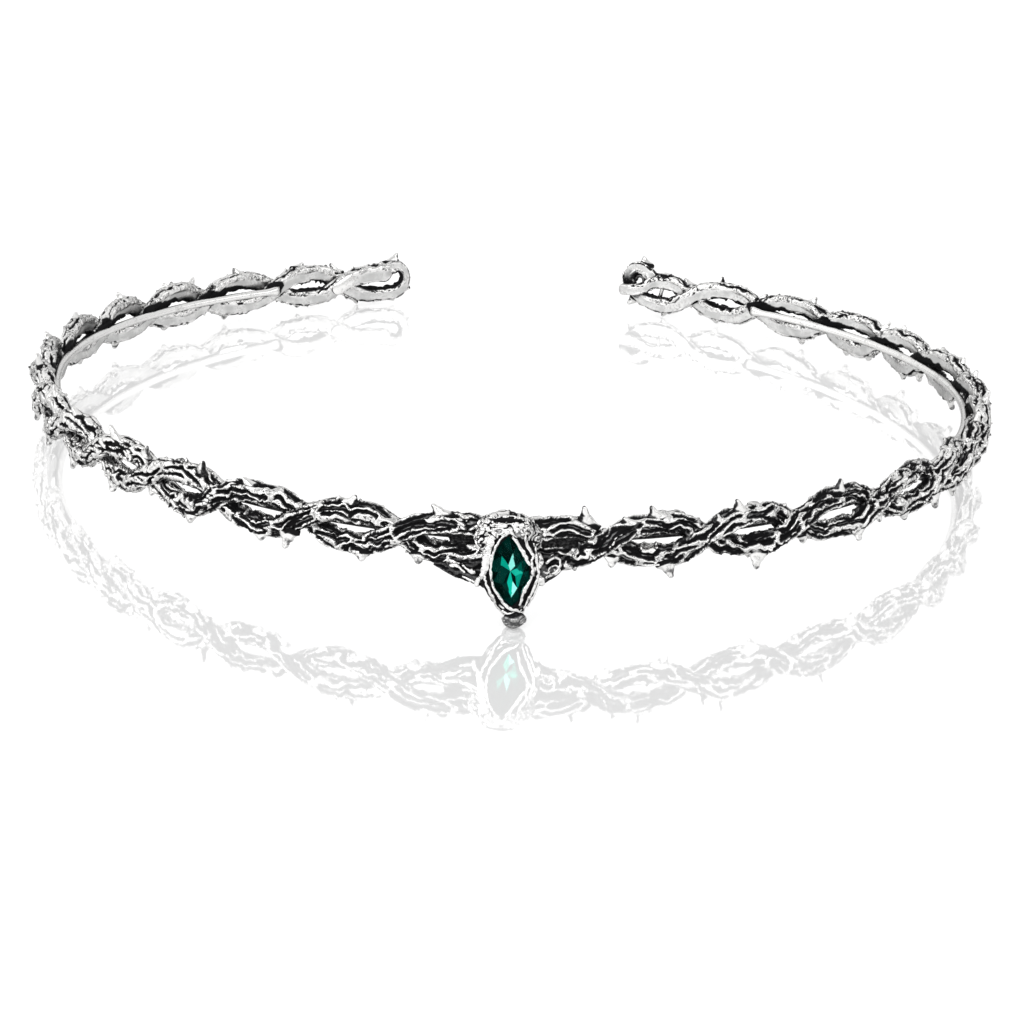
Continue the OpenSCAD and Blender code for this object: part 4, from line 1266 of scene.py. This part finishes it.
def lump_skin(middle, halves, seed, bark_share, rings=90, columns=120, satin=0.0, dark=0.0,
              frame_of=in_setting, mottled=0.0, dark_top=0.0):
    """A ball stretched to its half sizes, with its poles left and right. Bark lanes run over it
    from side to side, or it is mottled, and the relief is scaled by the bark's share. A dark
    top reaches down into the hollows of the relief."""
    halves = np.array(halves, float)
    tilt = np.linspace(-np.pi / 2, np.pi / 2, rings + 2)[1:-1]
    shape = section(columns, 1, 1)
    ball = np.cos(tilt)[:, None]
    way = np.stack([np.sin(tilt)[:, None] + 0 * shape[None, :, 0],
                    -ball * shape[None, :, 0], ball * shape[None, :, 1]], -1)
    normal = unit(way / halves)
    s = (tilt + np.pi / 2) * halves[0]
    v = shape[:, 4] * halves[2]
    half_round = math.pi * halves[2]
    lanes = np.arange(-half_round + SWELLING_PITCH / 2, half_round, SWELLING_PITCH)
    a, b = np.broadcast_arrays(s[:, None], v[None])
    if mottled:
        height, oxide = mottle(a, b, mottled, seed)
    else:
        height, oxide = bark(s, v, lanes, SWELLING_PITCH, seed)
    slow = 0.12 * ripple(a, b, 1.6, 1.4, seed + 9)
    grid = np.array(middle) + way * halves + ((height + slow) * bark_share)[..., None] * normal
    cover = np.maximum(dark, dark_top * ease(0.15, 0.45, way[..., 2] - height))
    marks = np.maximum(oxide * bark_share, cover)
    return skin(leave_room(frame_of(grid)), marks, satin + 0 * oxide)


SADDLE_AT = [-0.45, 1.6, 5.95]
SADDLE_HALVES = [3.6, 2.2, 1.80]


def on_saddle(x, z):
    """Depth of the saddle: the front of its stretched ball."""
    u = (x - SADDLE_AT[0]) / SADDLE_HALVES[0]
    w = (z - SADDLE_AT[2]) / SADDLE_HALVES[2]
    return SADDLE_AT[1] - SADDLE_HALVES[1] * np.sqrt(np.clip(1 - u * u - w * w, 0, 1))


saddle = [
    lump_skin(SADDLE_AT, SADDLE_HALVES, 201, 1.0, rings=130, columns=180, mottled=0.62),
    lump_skin([-3.2, 1.35, 4.2], [1.3, 1.1, 2.0], 211, 1.0, rings=60, columns=100, mottled=0.55),
    lump_skin([3.0, 1.35, 4.2], [1.1, 1.1, 2.0], 217, 1.0, rings=60, columns=100, dark=0.35,
              mottled=0.55),
    lump_skin([-0.2, -0.10, 7.20], [1.9, 0.35, 0.27], 219, 0.2, rings=50, columns=50, dark=1.0),
]
make_piece("setting_saddle", joined(saddle), bark_silver)

# %% Ridges of the saddle and its swirl
SADDLE_CORDS = [
    [[-3.7, 6.4, 0.11], [-3.2, 7.0, 0.14], [-2.2, 7.4, 0.14], [-1.2, 7.55, 0.14]],
    [[-1.5, 7.5, 0.12], [-0.4, 7.65, 0.15], [0.8, 7.5, 0.14], [1.7, 7.2, 0.12]],
    [[1.3, 7.4, 0.11], [2.1, 7.0, 0.14], [2.6, 6.4, 0.12], [2.75, 5.8, 0.11]],
    [[-2.6, 6.75, 0.11], [-1.7, 6.75, 0.14], [-0.6, 6.85, 0.16], [0.3, 6.8, 0.12]],
    [[0.0, 6.85, 0.12], [1.0, 6.85, 0.15], [1.8, 6.65, 0.12], [2.2, 6.3, 0.10]],
    [[-2.5, 6.4, 0.11], [-3.3, 6.2, 0.13], [-3.75, 5.5, 0.13], [-3.7, 4.8, 0.13], [-3.3, 4.2, 0.11]],
    [[-2.2, 6.0, 0.11], [-2.9, 5.75, 0.13], [-3.2, 5.2, 0.13], [-3.1, 4.6, 0.13], [-2.8, 4.1, 0.11]],
    [[-4.0, 5.3, 0.12], [-4.2, 4.3, 0.14], [-4.1, 3.4, 0.18], [-3.8, 2.6, 0.12]],
    [[1.9, 6.3, 0.10], [2.5, 5.9, 0.13], [2.8, 5.3, 0.13], [2.75, 4.6, 0.11]],
]
ridges = [laid_cord(rows, on_saddle, 1, 140 + 3 * n) for n, rows in enumerate(SADDLE_CORDS)]
make_piece("setting_ridges", joined(ridges), bark_silver)

# %% Lumps, bead and knob
lumps = [
    lump_skin([-1.25, -0.45, 5.9], [0.70, 0.50, 0.52], 221, 0.5, rings=30, columns=40),
    lump_skin([1.30, -0.45, 5.5], [0.72, 0.50, 0.70], 223, 0.5, rings=30, columns=40),
    lump_skin([0.95, -0.20, 6.65], [0.45, 0.45, 0.42], 224, 0.2, rings=24, columns=32),
    lump_skin([-0.25, -0.75, 5.75], [0.42, 0.42, 0.42], 225, 0.1, rings=24, columns=32),
    lump_skin([0.30, 0.25, -7.12], [1.50, 1.30, 1.08], 227, 0.62, rings=70, columns=80, satin=0.2,
              dark=0.44, mottled=1.0, dark_top=0.85),
]
make_piece("setting_lumps", joined(lumps), smooth_silver)


# %% Webs at the flanks
def web_skin(rows, seed):
    """A web is a swept oval whose half height and half thickness change along it, covered with
    bark in lanes that run along it. Rows are x, y, z, half height and half thickness."""
    rows = np.array(rows, float)
    s, fine_rows = smooth_path(rows, 0.12)
    knots = in_setting(fine_rows[:, :3])
    shape = section(84, 1, 1, 3.0, 3.0)
    grid, normal = sweep(knots, FORWARD, shape, fine_rows[:, 4], fine_rows[:, 3])
    v = shape[:, 4] * fine_rows[:, 3].mean()
    lanes = np.arange(v.min() + 0.5, v.max(), 1.1)
    height, oxide = bark(s, v, lanes, 1.1, seed)
    return skin(grid + 0.8 * height[..., None] * normal, np.maximum(oxide, 0.68), 0 * oxide)


def on_web(x, z):
    """Depth of a web's face, looked up by the distance from the stone's middle."""
    return np.interp(np.abs(x), [3.5, 5.0, 6.3, 7.7, 10.0], [0.6, 0.95, 1.4, 2.0, 2.2])


WEB_LEFT = [
    [-10.3, 2.7, 0.9, 0.5, 0.5], [-8.6, 2.5, 0.3, 0.9, 0.7], [-6.8, 2.2, -0.2, 1.4, 0.8],
    [-5.0, 1.8, -0.5, 1.8, 0.9], [-3.4, 1.5, -0.6, 2.1, 0.9]]
WEB_RIGHT = [
    [3.2, 1.5, -0.6, 2.1, 0.9], [4.8, 1.8, -0.3, 1.7, 0.9], [6.2, 2.2, 0.1, 1.2, 0.8],
    [7.6, 2.6, 0.6, 0.7, 0.6], [8.2, 2.8, 0.9, 0.4, 0.5]]
webs = [web_skin(WEB_LEFT, 241), web_skin(WEB_RIGHT, 251)]
make_piece("setting_webs", joined(webs), bark_silver)

# %% Cords and blunt tips of the webs
LOOP_TURN = np.linspace(0.4, 2 * np.pi + 0.2, 9)
WEB_CORDS = [
    [[5.9 + 0.80 * math.cos(t), -0.45 + 0.62 * math.sin(t), 0.11] for t in LOOP_TURN],
    [[4.7, 0.6, 0.18], [5.6, 1.25, 0.20], [6.5, 1.15, 0.22], [6.75, 0.4, 0.2], [6.2, -0.6, 0.2],
     [5.3, -1.1, 0.2], [4.6, -1.4, 0.2]],
    [[4.3, -0.4, 0.18], [4.9, -0.7, 0.2], [5.3, -0.5, 0.15]],
    [[-9.0, 0.5, 0.18], [-8.3, 0.2, 0.3], [-7.5, 0.4, 0.34], [-6.9, 0.1, 0.2], [-6.2, -0.6, 0.2]],
    [[-6.6, 0.6, 0.14], [-5.9, 0.1, 0.2], [-5.2, -0.25, 0.42], [-4.7, -0.1, 0.2]],
    [[-6.6, -1.0, 0.16], [-5.8, -1.4, 0.2], [-5.0, -1.7, 0.2], [-4.4, -1.9, 0.2]],
]
web_cords = [laid_cord(rows, on_web, 1, 180 + 3 * n) for n, rows in enumerate(WEB_CORDS)]
make_piece("web_cords", joined(web_cords), bark_silver)
TIPS = [
    [[-4.2, -1.0, 0.50], [-4.6, -1.9, 0.38], [-4.75, -2.45, 0.30]],
    [[3.9, -1.0, 0.55], [4.15, -1.9, 0.42], [4.25, -2.5, 0.33]],
    [[5.85, -0.50, 0.24], [5.95, -0.40, 0.26], [6.05, -0.30, 0.22]],
]
tips = [laid_cord(rows, on_web, 1, 195 + n, wobble=0.02, jitter=0.02) for n, rows in enumerate(TIPS)]
make_piece("web_tips", joined(tips), smooth_silver)


# %% Bark that closes the eyes next to the setting, toned dark as painted shade
def unmoved(points):
    """Points that already are in the ring's frame."""
    return points


# The two large fills are toned dark, painted shade of the eyes' insides over their bark oxide
fills = [
    lump_skin([7.6, -81.6, 0.0], [4.4, 0.8, 1.5], 261, 0.8, rings=90, columns=60, dark=0.75,
              frame_of=unmoved),
    lump_skin([6.9, -82.4, 1.3], [0.55, 0.5, 0.5], 263, 0.4, rings=24, columns=32, frame_of=unmoved),
    lump_skin([-5.4, -81.9, 0.0], [2.2, 0.8, 1.4], 265, 0.8, rings=60, columns=60, dark=0.75,
              frame_of=unmoved),
]
make_piece("eye_fills", joined(fills), bark_silver)

# %% [markdown]
# ## The marquise stone
# A marquise is a long brilliant cut: a table, eight kites and eight stars round it, sixteen
# small facets down to the girdle, and a pavilion whose kites meet in a point. The crown's
# kites stay flat because the corners where two neighbours meet are worked out from their
# planes. The crown is clear green glass. The pavilion is an opaque green backing with a
# painted brightness for each facet: painted reflections that show as dark and bright kites
# through the table.

# %% Corners of the cut
TABLE_SHARE = 0.56
CROWN_H = 0.9
GIRDLE_H = 0.2
PAVILION_H = 1.9


def corner_ring():
    """Sixteen girdle corners, equal steps of turn from the upper point to the right."""
    turn = np.arange(16) * np.pi / 8
    x, z = marquise(turn, 0)
    x[[0, 8]] = 0
    return x, z


def meeting(k, tops, girdle, ways, depth):
    """Where the planes of facets k and k + 1 meet at a depth. A plane holds its top corner, its
    girdle corner and the girdle's way there, so two linear equations give x and z."""
    rows, rights = [], []
    for m in (k % 8, (k + 1) % 8):
        normal = np.cross(girdle[m] - tops[m], ways[m])
        rows.append([normal[0], normal[2]])
        rights.append(np.dot(normal, girdle[m]) - normal[1] * depth)
    x, z = np.linalg.solve(np.array(rows), np.array(rights))
    return [x, depth, z]


gx, gz = corner_ring()
TOP_Y = -GIRDLE_H / 2 - CROWN_H
upper_girdle = np.stack([gx, np.full(16, -GIRDLE_H / 2), gz], -1)
lower_girdle = np.stack([gx, np.full(16, GIRDLE_H / 2), gz], -1)
table_corners = np.stack([TABLE_SHARE * gx[::2], np.full(8, TOP_Y), TABLE_SHARE * gz[::2]], -1)
girdle_ways = unit(np.roll(upper_girdle, -1, 0) - np.roll(upper_girdle, 1, 0))[::2]
star_points = np.array([
    meeting(k, table_corners, upper_girdle[::2], girdle_ways, -GIRDLE_H / 2 - 0.52 * CROWN_H)
    for k in range(8)])


def pavilion_points(flat):
    """Corners of the pavilion from rows of x and z. The share of the way from the middle to the
    outline comes from the point's distance to the arcs, and the depth is the girdle's plus the
    pavilion's times a power of what that share leaves."""
    x, z = np.array(flat, float).T
    share = 1 + edge_of(x, z) / (STONE_W / 2)
    return np.stack([x, GIRDLE_H / 2 + PAVILION_H * (1 - share) ** 0.8, z], -1)


# Tips of the eight kites from the upper one to the right, and the corners between them
KITE_TIPS = [[0.3, 2.0], [1.35, 1.0], [1.5, -0.6], [0.75, -2.7], [-0.05, -4.0], [-1.1, -2.1],
             [-1.5, -0.4], [-1.0, 1.8]]
KITE_SIDES = [[0.62, 0.25], [0.85, -0.1], [0.6, -1.2], [0.2, -1.95], [-0.55, -2.0], [-0.6, -1.0],
              [-1.2, 0.5], [-0.30, 0.3]]
outer_points = pavilion_points(KITE_TIPS)
inner_points = pavilion_points(KITE_SIDES)
point = pavilion_points([[-0.05, -0.60]])
print("star points from", np.round(star_points[0], 2), "to", np.round(star_points[4], 2))

# %% Facets of the cut
# Painted reflection brightness of the pavilion: eight kites round the point from the upper
# one to the right, the eight facets between them, and three outer facets for each
KITES = [1.00, 0.30, 0.66, 0.05, 0.62, 0.06, 0.28, 0.60]
BETWEEN = [0.12, 0.35, 0.50, 1.00, 0.20, 0.28, 0.16, 0.08]
OUTER = [
    [0.05, 0.22, 0.05], [0.16, 0.28, 0.05], [0.30, 0.14, 0.03], [0.04, 0.18, 0.14],
    [0.14, 0.06, 0.03], [0.05, 0.24, 0.03], [0.30, 0.26, 0.05], [0.14, 0.10, 0.25],
]


def stone_facets():
    """Corners and facets, each facet with its painted reflection brightness; glass facets have
    minus one.
    """
    corners = np.concatenate(
        [table_corners, star_points, upper_girdle, lower_girdle, outer_points, inner_points, point])
    star, high, low, out, inner, middle = 8, 16, 32, 48, 56, 64
    facets, painted_sparkle = [list(range(8))], [-1]
    for k in range(8):
        n, before = (k + 1) % 8, (k + 7) % 8
        g, g1, g2 = 2 * k, 2 * k + 1, (2 * k + 2) % 16
        facets += [[k, star + k, n], [k, star + before, high + g, star + k],
                   [star + k, high + g, high + g1], [star + k, high + g1, high + g2],
                   [high + g, low + g, low + g1, high + g1], [high + g1, low + g1, low + g2, high + g2]]
        painted_sparkle += [-1] * 6
        facets += [[middle, inner + k, out + k, inner + before], [inner + k, out + n, out + k],
                   [out + k, low + g1, low + g], [out + k, out + n, low + g1],
                   [out + n, low + g2, low + g1]]
        painted_sparkle += [KITES[k], BETWEEN[k]] + OUTER[k]
    return corners, facets, painted_sparkle


def build_stone(glass, foil):
    """The stone's mesh with flat facets: glass down to the girdle and the painted backing under
    it, with the painted reflection brightness of each facet in its own attribute. Its faces
    are turned outwards at the end."""
    corners, facets, painted_sparkle = stone_facets()
    mesh = bpy.data.meshes.new("marquise_stone")
    mesh.from_pydata(at_rest(in_setting(corners)).tolist(), [], facets)
    shaper = bmesh.new()
    shaper.from_mesh(mesh)
    bmesh.ops.recalc_face_normals(shaper, faces=shaper.faces)
    shaper.to_mesh(mesh)
    shaper.free()
    mark = mesh.attributes.new("painted_sparkle", "FLOAT", "FACE")
    mark.data.foreach_set("value", np.maximum(painted_sparkle, 0))
    mesh.materials.append(glass)
    mesh.materials.append(foil)
    mesh.polygons.foreach_set("material_index", [1 if value >= 0 else 0 for value in painted_sparkle])
    mesh.update()
    stone = bpy.data.objects.new("marquise_stone", mesh)
    bpy.context.collection.objects.link(stone)
    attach(stone, "root")
    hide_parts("stone")
    print("marquise_stone -", len(facets), "facets")


# %% Glass, and foil with painted reflections
glass, _, _ = new_material("green_glass", {
    "Base Color": (0.45, 0.98, 0.90, 1), "Roughness": 0.0, "IOR": 1.12,
    "Transmission Weight": 1.0, "Specular IOR Level": 0.06})
foil, foil_tree, foil_shader = new_material("green_foil_painted_sparkle", {"Roughness": 0.9, "Specular IOR Level": 0.0})
fire_mark = new_node(foil_tree, "ShaderNodeAttribute", attribute_name="painted_sparkle").outputs["Fac"]
# The ramp turns the painted reflection brightness into dark green for dim facets up to near white
ramp = colour_ramp(foil_tree, (0.0, 0.001, 0.001, 1), (0.66, 1.0, 0.96, 1), (
    (0.30, (0.0, 0.034, 0.028, 1)), (0.6, (0.0, 0.40, 0.31, 1)), (0.82, (0.06, 0.84, 0.68, 1))))
link(foil_tree, fire_mark, ramp.inputs["Fac"])
link(foil_tree, ramp.outputs["Color"], foil_shader.inputs["Base Color"])
build_stone(glass, foil)

# %% [markdown]
# ## Floor and light
# The silver looks as if it lay on grey in a tent of soft light, though all round it is white.
# So the camera sees a white floor with a faint mirror image, while the silver mirrors a greyer
# one. In front of the circlet the tent is bright above and dark near the floor, which draws a
# dark edge round every silver cord. Its left side is a little brighter than its right one.

# %% Floor
FLOOR_HALF = 6.0
FLOOR_SEEN = grey(0.93)
FLOOR_MIRRORED = grey(0.72)
floor_mesh = bpy.data.meshes.new("floor")
floor_mesh.from_pydata(
    [(-FLOOR_HALF, -FLOOR_HALF, 0), (FLOOR_HALF, -FLOOR_HALF, 0), (FLOOR_HALF, FLOOR_HALF, 0),
     (-FLOOR_HALF, FLOOR_HALF, 0)], [], [(0, 1, 2, 3)])
floor = bpy.data.objects.new("floor", floor_mesh)
bpy.context.collection.objects.link(floor)
floor_white, floor_tree, floor_shader = new_material(
    "floor_white", {"Metallic": 0.50, "Roughness": 0.04, "Specular IOR Level": 0.0})
is_glossy = new_node(floor_tree, "ShaderNodeLightPath").outputs["Is Glossy Ray"]
floor_colour = mix_colors(floor_tree, is_glossy, FLOOR_SEEN, FLOOR_MIRRORED)
link(floor_tree, floor_colour, floor_shader.inputs["Base Color"])
floor_mesh.materials.append(floor_white)

# %% Light
# Brightness of the tent in front by its height, from straight down (0) to straight up (1)
TENT_STOPS = ((0.50, 0.45), (0.55, 0.80), (0.62, 1.60), (0.78, 1.60), (0.88, 0.50))
TENT_BEHIND = 0.91
LEFT_BRIGHTER = 0.17

scene = bpy.context.scene
scene.view_settings.view_transform = "Standard"
world = bpy.data.worlds.new("white_tent")
scene.world = world
world.use_nodes = True
sky = world.node_tree
background = sky.nodes["Background"]
direction = new_node(sky, "ShaderNodeTexCoord").outputs["Generated"]
split_way = new_node(sky, "ShaderNodeSeparateXYZ")
link(sky, direction, split_way.inputs[0])
tent = colour_ramp(sky, grey(0.3), grey(0.7), [(stop, grey(value)) for stop, value in TENT_STOPS])
height_share = math_node(sky, "ADD", math_node(sky, "MULTIPLY", split_way.outputs["Z"], 0.5), 0.5)
link(sky, height_share, tent.inputs["Fac"])
behind = between(sky, split_way.outputs["Y"], -0.15, 0.45)
around = mix_colors(sky, behind, tent.outputs["Color"], grey(TENT_BEHIND))
darker_right = math_node(sky, "MULTIPLY", split_way.outputs["X"], LEFT_BRIGHTER)
flank = math_node(sky, "SUBTRACT", 1.0, darker_right)
is_camera = new_node(sky, "ShaderNodeLightPath").outputs["Is Camera Ray"]
seen_strength = math_node(sky, "MAXIMUM", flank, is_camera)
seen = mix_colors(sky, is_camera, around, grey(1))
link(sky, seen, background.inputs["Color"])
link(sky, seen_strength, background.inputs["Strength"])


def soft_light(name, at, aim, width, height, power):
    """A rectangular soft box that points at a place."""
    data = bpy.data.lights.new(name, "AREA")
    data.shape = "RECTANGLE"
    data.size = width
    data.size_y = height
    data.energy = power
    lamp = bpy.data.objects.new(name, data)
    lamp.location = at
    lamp.rotation_euler = (Vector(aim) - Vector(at)).to_track_quat("-Z", "Y").to_euler()
    bpy.context.collection.objects.link(lamp)


soft_light("key", at=(-0.35, -0.65, 0.62), aim=(0, -0.03, 0), width=0.3, height=0.3, power=0.8)
overhead_data = bpy.data.lights.new("overhead", "SUN")
overhead_data.energy = 2.05
overhead_data.angle = 1.2
overhead_data.use_shadow = False
overhead = bpy.data.objects.new("overhead", overhead_data)
overhead.rotation_euler = (0.25, 0.1, 0)
overhead.visible_glossy = False
bpy.context.collection.objects.link(overhead)
print("lights are set")
